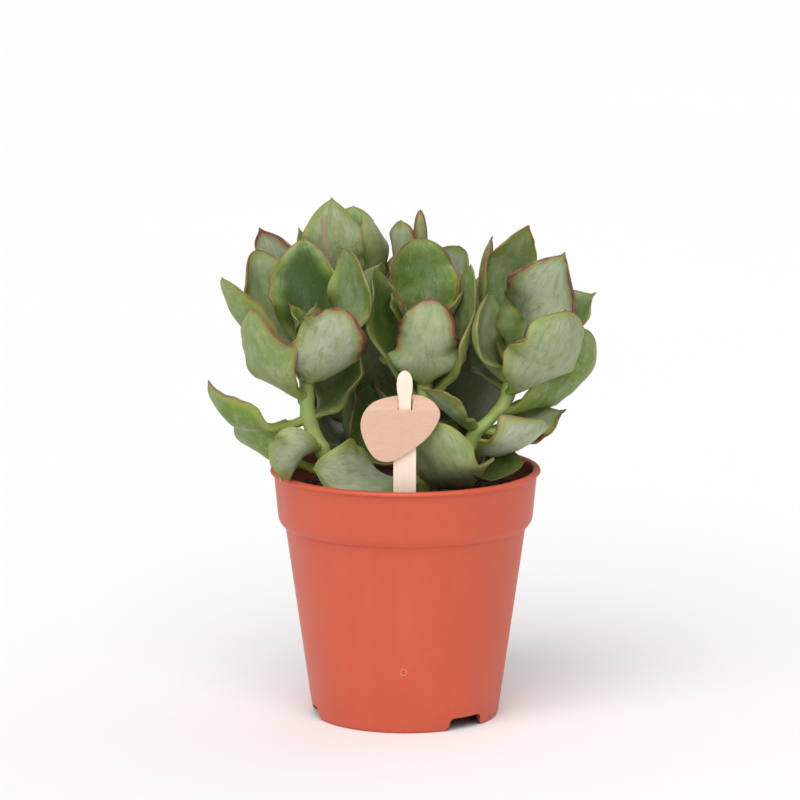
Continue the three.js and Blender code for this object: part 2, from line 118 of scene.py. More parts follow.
# The pick's outline from its foot up: (height, half width)
PICK_OUTLINE = [
    (PICK_TIP + 1, 0.3), (PICK_TIP + 10, PICK_HALF), (105, PICK_HALF), (107, 2.1), (114, 2.1),
    (114.9, 2.35), (116, 2.52), (118, 2.6), (119.6, 2.42), (120.8, 2.0), (121.6, 1.4),
    (122, 0.8), (122.2, 0.3),
]

# The heights at which the tag is cut across, closer where it bends over the pick's neck
TAG_CUTS = [
    94.5, 97, 100, 103, 106, 108, 109, 109.8, 110.4, 110.8, 111.1, 111.4, 111.8, 112.4, 113.2, 114,
]

# Leaves
LEAF_THICK_ROOT = 3.4
LEAF_THICK_TIP = 1.7
LEAF_EDGE = 0.36
LEAF_ROOT_WIDTH = 0.2
LEAF_ROOT_OUT = 0.9
LEAF_WIDEST = 0.52
LEAF_NARROWS = 0.5
TIP_FULLNESS = 2.3
TIP_BLUNTNESS = 0.58
SMALL_LEAF = 24
SMALL_LEAF_THICK = 0.6
SPINE_STEPS = 24
CURL_LATENESS = 1.15
CUP = (0.5, 0.95)
CUP_AT_ENDS = 0.35
SWERVE = 0.07
ROLL_EARLINESS = 1.5
RIPPLE = (0.07, 0.12)
WAVES = 1.4
WAVE_FADE = 1.8
WAVE_ENDS = 0.6
WAVE_LAG = 1.7
FINE_WAVE = 0.045
FINE_WAVES = (2.2, 3.1)
FINE_WAVE_FADE = 2.4
TIP_BACK = (-0.5, 2.2)
KEEL = (-0.02, 0.07)
KEEL_ROUND = 0.004
EAR_PLACE = 0.27
EAR_SPREAD = 0.085
GROOVE_DEPTH = 0.22
GROOVE_WIDTH = 0.1
UNEVEN_FACE = 0.1
TIP_THINS = 0.72

# How a blunt leaf and a sharp one differ: the point's length and the outline's two powers
POINT_LENGTH = (0.3, 1.4)
FULLNESS = (2.4, 2.1)
BLUNTNESS = (0.5, 0.82)

# The flat blade that every leaf is bent from
BLANK_LONG = 40
BLANK_HALF = 11
BLANK_THICK = 1.4
BLANK_RIM = 0.45
BLANK_ROWS = 44
BLANK_COLUMNS = 20

# Stems
STEM_RADIUS_FOOT = 3.6
STEM_RADIUS_TOP = 2.2
STEM_RINGS = 56
STEM_SIDES = 24
STEM_ROUNDS = 0.93
JOINT_SWELL = 0.16
JOINT_REACH = 1.3

# A stem has a way, the points that its middle passes, and its pairs of leaves from the lowest up,
# each pair being (height, leaf, opposite leaf) or, where one leaf is lost, (height, leaf). A leaf
# is (bearing, rise, curl, length, width), then its roll and the place of its full width, if given.
STEMS = {
    "stem_left": {
        "way": [(-22, -10, 79), (-27, -10, 90), (-32, -9, 102), (-32, -8, 129)],
        "pairs": [
            (84.5, (162, -1, 56, 38, 27, 51)),
            (92.5, (-120, 4, -18, 29, 16.5, 109)),
            (101.5, (180, -27, 100, 38.8, 15.5, 42), (22, 27, 92, 33.5, 23.5, 40)),
            (109, (-138, 20, 78, 40.5, 20, 18)),
            (114.5, (-69, 22, 64, 36.5, 24.5, -34, 0.45), (137, 39, 49, 48, 22, -15)),
            (118, (-158, 30, 42, 42.5, 13, 36), (-6, 36, 83, 46, 18, 62)),
            (122, (96, 71, 13, 39, 25.5, -12), (-75, 60, 20, 12, 8)),
            (127, (-68, 44, 45, 15, 9), (150, 60, 20, 13, 9)),
        ],
    },
    "stem_middle": {
        "way": [(5, -6, 79), (6, -4, 104), (7, -3, 130)],
        "pairs": [
            (80, (-153, 1, 21, 39, 25, -49), (45, 30, 40, 24, 18)),
            (94, (150, 30, 40, 26, 18)),
            (105, (-8, 50, 50, 51, 22, 30), (176, 52, 43, 49.5, 23, -25)),
            (112.6, (-92, 40, 74, 33, 22, -6, 0.39), (95, 30, 45, 27, 20)),
            (122, (98, 63, 22, 39, 28), (-80, 60, 20, 12, 8)),
            (128, (-166, 44, 30, 22, 9), (-15, 40, 30, 19, 9)),
        ],
    },
    "stem_right": {
        "way": [(17, -9, 79), (22, -9, 95), (33, -7, 107), (36, -4, 126)],
        "pairs": [
            (80, (-104, 3, 90, 39.5, 29.5, -14)),
            (82, (-25, -2, 45, 23, 22, 40)),
            (91, (-33, -2, 60, 32, 23, -25)),
            (98, (11, -18, 63, 29, 20, 21), (-151, 29, 20, 26, 17)),
            (104, (7, 3, 91, 42.4, 22, -76)),
            (110.5, (-45, 19, 66, 41, 29.5, -19, 0.42), (125, 20, 60, 30, 22)),
            (114, (16, 42, 11, 38.5, 31.5, 18), (-156, 30, 101, 34.5, 18.5, -62)),
            (119, (-16, 60, 14, 40.5, 31, 72), (160, 53, 60, 44, 13)),
            (124, (115, 62, 87, 46.5, 19.5, -19), (-98, 48, 30, 19, 10)),
        ],
    },
    "stem_back_left": {
        "way": [(-16, 14, 79), (-20, 20, 110), (-21, 22, 141)],
        "pairs": [
            (84, (140, 20, 50, 34, 22)),
            (94, (97, 12, 55, 32, 20)),
            (108, (165, 10, 60, 38, 24)),
            (114, (90, 20, 60, 38, 26)),
            (119, (-47, 41, 50, 36, 24), (140, 30, 60, 36, 24)),
            (126, (-160, 38, 30, 46, 24, 45), (50, 35, 60, 36, 24)),
            (131, (-5, 37, 94, 39.5, 19.5, -27), (155, 45, 40, 32, 20)),
            (137, (-102, 38, 79, 38.5, 22, 7), (80, 50, 40, 32, 22)),
            (140, (-170, 55, 30, 14, 8), (0, 55, 30, 14, 8)),
        ],
    },
    "stem_back_middle": {
        "way": [(6, 14, 79), (5, 20, 110), (4, 22, 140)],
        "pairs": [
            (84, (-156, 11, 93, 35.5, 30, -80)),
            (98, (90, 10, 60, 36, 24)),
            (100, (-145, 38, 60, 36, 26, 65)),
            (109, (-10, 30, 55, 22, 16), (175, 30, 55, 18, 14)),
            (122, (95, 25, 60, 38, 26)),
            (130, (-10, 45, 38, 29, 25.5, 56), (165, 45, 40, 17, 13)),
            (136, (-138, 55, 40, 30, 17), (70, 28, 50, 24, 18)),
            (139, (-84, 57, 50, 30, 5.5), (110, 55, 30, 18, 10)),
        ],
    },
    "stem_back_right": {
        "way": [(22, 16, 79), (28, 25, 105), (29, 27, 128)],
        "pairs": [
            (84, (25, 10, 60, 34, 22), (110, 20, 50, 26, 18)),
            (88, (-93, 55, 60, 42, 26, 20)),
            (98, (80, 18, 70, 30, 24)),
            (108, (5, 15, 60, 34, 24), (150, 30, 55, 22, 16)),
            (115, (75, 30, 60, 35, 26)),
            (119, (-30, 25, 50, 32, 22), (145, 40, 50, 21, 16)),
            (123, (30, 45, 40, 32, 20)),
            (126, (95, 55, 30, 19, 15), (-100, 50, 30, 14, 9)),
        ],
    },
}

# What sets single leaves apart, by number. A leaf's number is the stem's place in the list of
# stems times 100, and then the leaf's place on the stem, counted from 1.
# How pointed the tip is
SHARPNESS = {
    3: 0.9, 5: 0.8, 6: 0.1, 9: 0.6, 10: 0.75, 106: 0.15, 108: 0.1, 201: 0.1, 203: 0.3, 204: 0.9,
    206: 0.4, 207: 0.35, 209: 0.8, 210: 0.1, 211: 0.9, 212: 1.0, 213: 0.95, 307: 1.0, 309: 0.9,
    311: 0.5, 409: 0.1, 410: 0.3, 411: 0.0,
}
# How eared the foot is, and how much more the blade is cupped
EARS = {5: 0.3, 6: 0.15, 106: 0.6, 207: 0.15}
CUPPED = {4: 1.3, 10: 1.45, 108: 1.15}
# How frosted the leaf is with bloom, and how green on the outer face
FROSTED = {
    2: 0.8, 3: 1.0, 6: 0.3, 7: 1.0, 9: 0.35, 101: 0.8, 104: 0.25, 106: 0.35, 203: 1.0, 204: 1.0,
    205: 0.8, 207: 0.15, 209: 0.2, 210: 0.6, 211: 0.75, 212: 0.5, 213: 0.75, 307: 1.0, 407: 0.9,
    409: 0.6,
}
GREENED = {
    1: 1.0, 3: 1.0, 5: 0.55, 7: 0.7, 8: 0.8, 201: 0.2, 204: 0.4, 206: 1.0, 207: 0.25, 213: 0.7,
    214: 0.5, 309: 0.5, 311: 0.2,
}
# How much painted shade darkens the leaf where other leaves would shade it, and how much painted
# shade darkens the middle of its hollow
PAINTED_SHADE = {
    4: 0.45, 10: 0.1, 102: 0.8, 103: 0.9, 105: 0.35, 202: 0.75, 208: 0.6, 301: 0.6, 302: 0.8,
    303: 0.8, 305: 0.2, 401: 0.7, 402: 0.7, 403: 0.75, 404: 0.7, 502: 0.9, 503: 0.9,
}
# Painted shade in the middle of a cupped leaf's hollow
HOLLOW_SHADE = {4: 0.5, 9: 0.2, 10: 1.0, 105: 0.5, 108: 0.3}
# How strongly the edge is lined with brown, and how far the brown spreads from it
LINED = {
    5: 0.6, 6: 1.0, 7: 0.7, 8: 0.5, 9: 0.45, 10: 0.4, 101: 0.15, 104: 0.4, 105: 0.15, 106: 1.0,
    108: 0.6, 201: 0.3, 203: 0.6, 204: 0.8, 206: 0.3, 207: 0.7, 209: 0.5, 210: 0.25, 211: 1.0,
    212: 1.0, 213: 0.4, 307: 1.0, 309: 0.6, 311: 0.3, 409: 0.8, 411: 0.7,
}
EDGED = {5: 0.5, 6: 1.0, 106: 1.0, 209: 0.5, 211: 1.0, 212: 3.0, 307: 0.9, 409: 0.5, 411: 0.2}
# The one leaf with a dry scar
SCARRED = 311

# What a leaf's points carry for its material: where they lie on the blade (how far from its
# margin, on which face, how far along and across), and what sets their leaf apart
LEAF_MARKS = (
    "margin", "inner", "along", "across", "tone", "age", "frosted", "greened", "shade",
    "painted_hollow_shade", "lined", "edged", "scarred",
)


# Sums

def mix(low, high, share):
    return low + (high - low) * share


def smooth(value):
    value = np.clip(value, 0, 1)
    return value * value * (3 - 2 * value)


def draw(number, thing):
    """A repeatable draw from 0 to 1 for a leaf's number and the thing that varies."""
    wild = abs(math.sin(number * 12.9898 + thing * 78.233)) * 43758.5453
    return wild - math.floor(wild)


def through(points, share, closed=False):
    """The place at a share of a smooth curve through points."""
    points = [np.array(point, float) for point in points]
    count = len(points)
    place = (count if closed else count - 1) * share
    start = int(math.floor(place))
    if not closed and start >= count - 1:
        start = count - 2
    past = place - start

    def at(i):
        if closed:
            return points[i % count]
        if i < 0:
            return 2 * points[0] - points[1]
        if i >= count:
            return 2 * points[-1] - points[-2]
        return points[i]

    before, here, there, after = (at(start + i) for i in (-1, 0, 1, 2))
    spans = [math.sqrt(np.linalg.norm(b - a)) for a, b in
             ((before, here), (here, there), (there, after))]
    leave = ((here - before) / spans[0] - (there - before) / (spans[0] + spans[1])
             + (there - here) / spans[1]) * spans[1]
    arrive = ((there - here) / spans[1] - (after - here) / (spans[1] + spans[2])
              + (after - there) / spans[2]) * spans[1]
    return (here + leave * past
            + (-3 * here + 3 * there - 2 * leave - arrive) * past ** 2
            + (2 * here - 2 * there + leave + arrive) * past ** 3)


def zigzag(angle):
    """A wave with straight flanks and slightly rounded crests, from about -1.3 to 1.3."""
    return np.arcsin(0.97 * np.sin(angle))


# Modelling

def take(name):
    """Names the primitive that was just added."""
    piece = bpy.context.object
    piece.name = name
    piece.data.name = name
    return piece


def copy_of(piece):
    """A second piece, with a mesh of its own."""
    twin = piece.copy()
    twin.data = piece.data.copy()
    bpy.context.collection.objects.link(twin)
    return twin


def deselect():
    bpy.ops.object.select_all(action="DESELECT")


def activate(piece):
    deselect()
    piece.select_set(True)
    bpy.context.view_layer.objects.active = piece


def edit(piece):
    activate(piece)
    bpy.ops.object.mode_set(mode="EDIT")


def leave():
    bpy.ops.object.mode_set(mode="OBJECT")


def select_whole():
    bpy.ops.mesh.select_all(action="SELECT")


def leave_outward():
    """Turns every face outward and leaves the edited piece."""
    select_whole()
    bpy.ops.mesh.normals_make_consistent(inside=False)
    leave()


def choose(kind, test):
    """Selects the faces or edges of the edited piece that pass a test."""
    bpy.ops.mesh.select_mode(type=kind)
    bpy.ops.mesh.select_all(action="DESELECT")
    shape = bmesh.from_edit_mesh(bpy.context.object.data)
    for item in {"FACE": shape.faces, "EDGE": shape.edges}[kind]:
        item.select_set(bool(test(item)))
    shape.select_flush_mode()
    bmesh.update_edit_mesh(bpy.context.object.data)


def move(x=0, y=0, z=0):
    bpy.ops.transform.translate(value=(x * MM, y * MM, z * MM))


def extrude(x=0, y=0, z=0):
    bpy.ops.mesh.extrude_region_move(TRANSFORM_OT_translate={"value": (x * MM, y * MM, z * MM)})


def resize(x, y, z, middle=(0, 0, 0)):
    bpy.ops.transform.resize(value=(x, y, z), center_override=tuple(v * MM for v in middle))


def settle(piece):
    """Gives a piece its place in its mesh, with its object at the origin."""
    activate(piece)
    bpy.ops.object.transform_apply(location=True, rotation=True, scale=True)


def finish(piece, kind, **values):
    """Adds a modifier to a piece and applies it."""
    activate(piece)
    modifier = piece.modifiers.new(kind.lower(), kind)
    for name, value in values.items():
        setattr(modifier, name, value)
    bpy.ops.object.modifier_apply(modifier=modifier.name)


def round_edges(piece, width, segments, degrees):
    """Bevels the edges at which a piece turns by more than an angle."""
    finish(piece, "BEVEL", width=width * MM, segments=segments, limit_method="ANGLE",
           angle_limit=math.radians(degrees))


def combine(piece, other, operation):
    finish(piece, "BOOLEAN", operation=operation, solver="EXACT", object=other)
    bpy.data.objects.remove(other)


def join(pieces, name):
    """Makes several pieces one, under a name."""
    deselect()
    for piece in pieces:
        piece.select_set(True)
    bpy.context.view_layer.objects.active = pieces[0]
    bpy.ops.object.join()
    return take(name)


def soften(piece, degrees):
    activate(piece)
    bpy.ops.object.shade_smooth_by_angle(angle=math.radians(degrees))


def points_of(piece):
    flat = np.empty(len(piece.data.vertices) * 3)
    piece.data.vertices.foreach_get("co", flat)
    return flat.reshape(-1, 3)


def place_points(piece, points):
    piece.data.vertices.foreach_set("co", np.ascontiguousarray(points).ravel())
    piece.data.update()


def mark(piece, name, value):
    """Stores one value, or one for each point of a piece, for its material to read."""
    attribute = piece.data.attributes.new(name, "FLOAT", "POINT")
    attribute.data.foreach_set("value", np.full(len(piece.data.vertices), value, np.float32))


def drawn_up(name, sides, rings):
    """A disc drawn out through rings of (middle, radius), each an extrusion of the last."""
    middle, radius = rings[0]
    deselect()
    bpy.ops.mesh.primitive_circle_add(vertices=sides, radius=radius * MM, fill_type="NGON",
                                      location=[v * MM for v in middle])
    piece = take(name)
    edit(piece)
    bpy.ops.mesh.select_mode(type="FACE")
    select_whole()
    for (middle, radius), (next_middle, next_radius) in zip(rings, rings[1:]):
        extrude(*(there - here for here, there in zip(middle, next_middle)))
        grow = next_radius / radius
        resize(grow, grow, 1, next_middle)
    leave_outward()
    settle(piece)
    return piece


def turned(name, sides, profile):
    """A body turned about the pot's axis, from its (radius, height) outline."""
    return drawn_up(name, sides, [((0, 0, height), radius) for radius, height in profile])


def block(name, middle, size, round_by):
    """A cube sized and bevelled all round, for cutting."""
    deselect()
    bpy.ops.mesh.primitive_cube_add(size=MM, location=[v * MM for v in middle])
    piece = take(name)
    piece.scale = size
    settle(piece)
    finish(piece, "BEVEL", width=round_by * MM, segments=3)
    return piece


# Pot

def make_pot():
    """The shell turned in one, with its foot notched, its floor drained and its gate mark."""
    piece = turned("pot_shell", POT_SIDES, [
        (FLOOR_MIDDLE, FLOOR_UNDERSIDE),
        (FOOT_RADIUS - FOOT_WALL, FLOOR_UNDERSIDE),
        (FOOT_RADIUS - FOOT_WALL, 0),
        (FOOT_RADIUS - 0.9, 0),
        (FOOT_RADIUS - 0.25, 0.45),
        (FOOT_RADIUS + 0.2, 1.5),
        (mix(FOOT_RADIUS, WALL_RADIUS_TOP, 0.5), STEP_FOOT / 2),
        (WALL_RADIUS_TOP, STEP_FOOT),
        (WALL_RADIUS_TOP + 0.95, STEP_FOOT + 0.35),
        (COLLAR_RADIUS_FOOT - 0.4, COLLAR_FOOT - 0.5),
        (COLLAR_RADIUS_FOOT + 0.05, COLLAR_FOOT + 0.9),
        (COLLAR_RADIUS_TOP, POT_HEIGHT - LIP_HEIGHT),
        (RIM_RADIUS, POT_HEIGHT - LIP_HEIGHT + 0.5),
        (RIM_RADIUS, POT_HEIGHT - 0.6),
        (RIM_RADIUS - 0.5, POT_HEIGHT),
        (COLLAR_RADIUS_TOP - WALL, POT_HEIGHT),
        (COLLAR_RADIUS_FOOT - WALL, COLLAR_FOOT - INNER_DROP),
        (WALL_RADIUS_TOP - WALL, STEP_FOOT - INNER_DROP),
        (FOOT_RADIUS - WALL + 1, FLOOR_TOP + 1.5),
        (FOOT_RADIUS - WALL - 1, FLOOR_TOP),
        (FLOOR_MIDDLE, FLOOR_TOP),
    ])
    round_edges(piece, 0.4, 3, 24)
    for bearing in NOTCH_BEARINGS:
        combine(piece, make_notch(bearing), "DIFFERENCE")
        combine(piece, make_drain(bearing), "DIFFERENCE")
    combine(piece, make_gate_mark(), "UNION")
    edit(piece)
    select_whole()
    bpy.ops.mesh.remove_doubles(threshold=WELD * MM)
    bpy.ops.mesh.dissolve_degenerate(threshold=WELD * MM)
    leave()
    soften(piece, 30)
    points = points_of(piece) / MM
    outside = np.interp(points[:, 2], (0, STEP_FOOT, COLLAR_FOOT, POT_HEIGHT),
                        (FOOT_RADIUS, WALL_RADIUS_TOP, COLLAR_RADIUS_FOOT, COLLAR_RADIUS_TOP))
    mark(piece, "inside", np.hypot(points[:, 0], points[:, 1]) < outside - 0.75 * WALL)
    return piece


def make_notch(bearing):
    """A cutter for a notch in the foot, round in its corners and where it opens below."""
    half = NOTCH_WIDTH / 2
    outline = [(half + NOTCH_FLARE, -2), (half + NOTCH_FLARE, 0)]
    for i in range(1, 9):
        turn = math.radians(90 * i / 8)
        outline.append((half + NOTCH_FLARE * (1 - math.sin(turn)),
                        NOTCH_FLARE * (1 - math.cos(turn))))
    for i in range(7):
        turn = math.radians(90 * i / 6)
        outline.append((half - NOTCH_CORNER * (1 - math.cos(turn)),
                        NOTCH_HEIGHT - NOTCH_CORNER * (1 - math.sin(turn))))
    outline += [(-x, z) for x, z in reversed(outline)]
    deselect()
    bpy.ops.mesh.primitive_circle_add(vertices=len(outline), radius=MM, fill_type="NGON")
    piece = take("notch")
    place_points(piece, np.array([(FOOT_RADIUS - NOTCH_REACH, x, z) for x, z in outline]) * MM)
    edit(piece)
    bpy.ops.mesh.select_mode(type="FACE")
    select_whole()
    extrude(x=2 * NOTCH_REACH)
    leave_outward()
    piece.rotation_euler = (0, 0, math.radians(bearing))
    settle(piece)
    return piece


def make_drain(bearing):
    """A cutter for a drain hole in the floor, on the line of a notch."""
    turn = math.radians(bearing)
    deselect()
    bpy.ops.mesh.primitive_cylinder_add(
        vertices=40, radius=DRAIN_RADIUS * MM, depth=DRAIN_DEPTH * MM,
        location=(math.cos(turn) * DRAIN_RING * MM, math.sin(turn) * DRAIN_RING * MM,
                  FLOOR_TOP * MM))
    piece = take("drain")
    settle(piece)
    return piece


def make_gate_mark():
    """The small raised ring, open at one side, and the dot that the mould's inlet leaves."""
    deselect()
    bpy.ops.mesh.primitive_torus_add(
        major_segments=40, minor_segments=10, major_radius=GATE_RADIUS * MM,
        minor_radius=GATE_WIRE * MM, location=(GATE_X * MM, -GATE_WALL * MM, GATE_HEIGHT * MM),
        rotation=(math.radians(GATE_LEAN), 0, 0))
    ring = take("gate_ring")
    settle(ring)
    edit(ring)

    def in_gap(face):
        middle = face.calc_center_median() / MM
        turn = math.degrees(math.atan2(middle.z - GATE_HEIGHT, middle.x - GATE_X))
        return GATE_GAP[0] < turn < GATE_GAP[1]

    choose("FACE", in_gap)
    bpy.ops.mesh.delete(type="FACE")
    bpy.ops.mesh.select_mode(type="EDGE")
    select_whole()
    bpy.ops.mesh.fill_holes(sides=12)
    leave()
    deselect()
    bpy.ops.mesh.primitive_uv_sphere_add(
        segments=16, ring_count=10, radius=GATE_DOT * MM,
        location=((GATE_X + 0.1) * MM, (GATE_WIRE - GATE_WALL) * MM,
                  (GATE_HEIGHT - GATE_DOT_DROP) * MM))
    dot = take("gate_dot")
    settle(dot)
    return join([ring, dot], "gate_mark")


# Soil

def lumps(points, size, seed):
    """Noise from -1 to 1 at each point, at a size in millimetres."""
    scale = 1 / (size * MM)
    shift = Vector((seed * 7.1, seed * 3.3, seed * 5.7))
    return np.array([noise.noise(Vector(point) * scale + shift) for point in points])


def make_soil():
    """A turned body with a rough crown, and the crumbs that lie on it."""
    share = (SOIL_EDGE - COLLAR_FOOT) / (POT_HEIGHT - COLLAR_FOOT)
    reach = mix(COLLAR_RADIUS_FOOT, COLLAR_RADIUS_TOP, share) - WALL - SOIL_ROOM
    profile = [
        (SOIL_FOOT, FLOOR_TOP + SOIL_ROOM),
        (FOOT_RADIUS - WALL, FLOOR_TOP + 2),
        (WALL_RADIUS_TOP - WALL - SOIL_ROOM, STEP_FOOT - 0.35),
        (COLLAR_RADIUS_FOOT - WALL - SOIL_ROOM, COLLAR_FOOT - 0.35),
        (reach, SOIL_EDGE - 0.5),
    ]
    for ring in range(SOIL_RINGS):
        share = (ring + 0.6) / SOIL_RINGS
        rise = float(smooth(share * 1.3))
        profile.append((reach * (1 - share) + 0.3, mix(SOIL_EDGE - 0.5, SOIL_CROWN - 1, rise)))
    body = turned("soil_body", SOIL_SIDES, profile)
    points = points_of(body)
    upper = smooth((points[:, 2] / MM - SOIL_EDGE + 1.2) / 0.8)
    inset = smooth((reach - np.hypot(points[:, 0], points[:, 1]) / MM) / 0.8)
    rough = (1.1 * lumps(points, 11, 1) + 0.75 * lumps(points, 4, 2)
             + 0.5 * np.abs(lumps(points, 1.7, 3)) + 0.22 * lumps(points, 0.8, 4))
    points[:, 2] += rough * upper * (0.35 + 0.65 * inset) * MM
    place_points(body, points)
    soften(body, 60)
    return join([body, make_crumbs(reach)], "soil_top")


def crumb_blank(number):
    """One irregular crumb: a cube cut finer, rounded and pushed out of true."""
    deselect()
    bpy.ops.mesh.primitive_cube_add(size=2)
    piece = take("crumb_%d" % number)
    edit(piece)
    select_whole()
    bpy.ops.mesh.subdivide(number_cuts=1)
    bpy.ops.transform.tosphere(value=0.75)
    leave()
    points = points_of(piece)
    for axis in range(3):
        points[:, axis] *= 0.75 + 0.5 * draw(number, 50 + axis)
    points *= 1 + 0.3 * lumps(points * MM, 1.2, number)[:, None]
    place_points(piece, points)
    return piece


def place_crumb(blank, number, reach):
    """A copy of a blank, drawn out and laid on the soil by the draws of its number."""
    bearing = draw(number, 1) * 2 * math.pi
    size = 0.45 + 1.5 * draw(number, 3) ** 2.5
    radius = (reach - size - 0.4) * math.sqrt(draw(number, 2))
    rise = float(smooth((1 - radius / reach) * 1.3))
    level = mix(SOIL_EDGE - 0.3, SOIL_CROWN - 0.9, rise)
    flat = mix(0.45, 1, draw(number, 8))
    long = mix(0.9, 3.2, draw(number, 9) ** 4)
    crumb = copy_of(blank)
    crumb.location = Vector((radius * math.cos(bearing), radius * math.sin(bearing), level)) * MM
    crumb.rotation_euler = [draw(number, 4 + k) * 2 * math.pi for k in range(3)]
    crumb.scale = [size * MM * 0.5 * long, size * MM * 0.5, size * MM * 0.5 * flat]
    return crumb


def make_crumbs(reach):
    """Crumbs and flat bits of bark, and short fibres, on the soil."""
    blanks = [crumb_blank(number) for number in range(CRUMB_BLANKS)]
    crumbs = [place_crumb(blanks[i % CRUMB_BLANKS], CRUMB_DRAWS + i, reach) for i in range(CRUMBS)]
    for blank in blanks:
        bpy.data.objects.remove(blank)
    deselect()
    for crumb in crumbs:
        crumb.select_set(True)
    bpy.context.view_layer.objects.active = crumbs[0]
    bpy.ops.object.transform_apply(location=True, rotation=True, scale=True)
    heap = join(crumbs, "crumbs")
    soften(heap, 50)
    return heap


# Pick and tag

def make_pick():
    """A block drawn up from the pointed foot through shoulder and neck to the round head."""
    deselect()
    bpy.ops.mesh.primitive_cube_add(size=MM, location=(PICK_X * MM, PICK_Y * MM, 0))
    piece = take("wooden_pick")
    piece.scale = (2 * PICK_OUTLINE[0][1], PICK_THICK, 1)
    settle(piece)
    edit(piece)
    select_whole()
    move(z=PICK_TIP + 0.5)
    choose("FACE", lambda face: face.normal.z > 0.9)
    for (level, width), (next_level, next_width) in zip(PICK_OUTLINE, PICK_OUTLINE[1:]):
        extrude(z=next_level - level)
        resize(next_width / width, 1, 1, (PICK_X, PICK_Y, 0))
    leave()
    round_edges(piece, 0.16, 3, 40)
    soften(piece, 35)
    return piece


def make_tag():
    """A disc pulled to the tag's rounded triangle, made a thin plate, slotted and flexed."""
    deselect()
    bpy.ops.mesh.primitive_circle_add(vertices=TAG_POINTS, radius=MM, fill_type="NGON")
    piece = take("wooden_tag")
    corners = [(x, 0, z) for x, z in TAG_OUTLINE]
    outline = [through(corners, i / TAG_POINTS, closed=True) for i in range(TAG_POINTS)]
    place_points(piece, np.array(outline) * MM)
    edit(piece)
    select_whole()
    move(y=PICK_Y - TAG_THICK / 2)
    bpy.ops.mesh.inset(thickness=0.5 * MM)
    select_whole()
    extrude(y=TAG_THICK)
    leave_outward()
    slot = block("slot", (PICK_X + TAG_SLOT_TRIM / 2, PICK_Y, TAG_SLOT_MIDDLE),
                 (TAG_SLOT_WIDTH - TAG_SLOT_TRIM, 8, TAG_SLOT_TOP - TAG_SLOT_FOOT), 0.5)
    combine(piece, slot, "DIFFERENCE")
    round_edges(piece, 0.13, 2, 60)
    edit(piece)
    for level in TAG_CUTS:
        bpy.ops.mesh.select_mode(type="FACE")
        select_whole()
        bpy.ops.mesh.bisect(plane_co=(0, 0, level * MM), plane_no=(0, 0, 1))
    leave()
    points = points_of(piece)
    lean = np.tanh((points[:, 2] / MM - TAG_SLOT_MIDDLE) / TAG_BEND)
    points[:, 1] += TAG_SWING * lean * MM
    place_points(piece, points)
    soften(piece, 35)
    return piece


# Stems and leaves

def make_leaf_blank():
    """A flat blade with a round rim, from 0 to 1 along X and BLANK_HALF to either side."""
    deselect()
    bpy.ops.mesh.primitive_grid_add(
        x_subdivisions=BLANK_ROWS, y_subdivisions=BLANK_COLUMNS, size=1, location=(0.5, 0, 0))
    piece = take("leaf_blank")
    piece.scale = (BLANK_LONG, 2 * BLANK_HALF, 1)
    piece.location = (BLANK_LONG / 2, 0, -BLANK_THICK / 2)
    settle(piece)
    edit(piece)
    bpy.ops.mesh.select_mode(type="FACE")
    select_whole()
    bpy.ops.mesh.extrude_region_move(TRANSFORM_OT_translate={"value": (0, 0, BLANK_THICK)})
    select_whole()
    bpy.ops.mesh.normals_make_consistent(inside=False)

    def on_rim(edge):
        one, two = edge.verts
        if abs(one.co.z - two.co.z) > 0.1:
            return False
        sides = min(abs(one.co.y), abs(two.co.y)) > BLANK_HALF - 0.01
        root = max(one.co.x, two.co.x) < 0.01
        tip = min(one.co.x, two.co.x) > BLANK_LONG - 0.01
        return sides or root or tip

    choose("EDGE", on_rim)
    bpy.ops.mesh.bevel(offset=BLANK_RIM, segments=3, profile=0.5)
    leave()
    points = points_of(piece)
    points[:, 0] /= BLANK_LONG
    place_points(piece, points)
    return piece


def leaf_outline(along, widest, fullness, bluntness):
    """The share of a leaf's full width at a place along it."""
    swell = mix(LEAF_ROOT_WIDTH, 1, smooth(along / widest))
    past = np.clip((along - LEAF_NARROWS) / (1 - LEAF_NARROWS), 0, 1)
    return swell * (1 - past ** fullness) ** bluntness


def leaf_spine(root, leaf, number):
    """The leaf's slope as a function of place, its middle line and the three ways it faces."""
    bearing, rise, curl, length = leaf[:4]
    turn = math.radians(bearing)
    outward = np.array([math.cos(turn), math.sin(turn), 0])
    up = np.array([0, 0, 1.0])
    side = np.cross(up, outward)
    swerve = mix(-SWERVE, SWERVE, draw(number, 4))

    def slope(along):
        return np.radians(rise + curl * np.maximum(along, 0) ** CURL_LATENESS)

    spine = [root + outward * LEAF_ROOT_OUT]
    for i in range(SPINE_STEPS + 3):
        along = (i + 0.5) / SPINE_STEPS
        angle = slope(along)
        ahead = outward * math.cos(angle) + up * math.sin(angle)
        ahead = ahead + side * math.sin(2 * swerve * along)
        spine.append(spine[i] + ahead * length / SPINE_STEPS)
    return slope, np.array(spine), outward, up, side


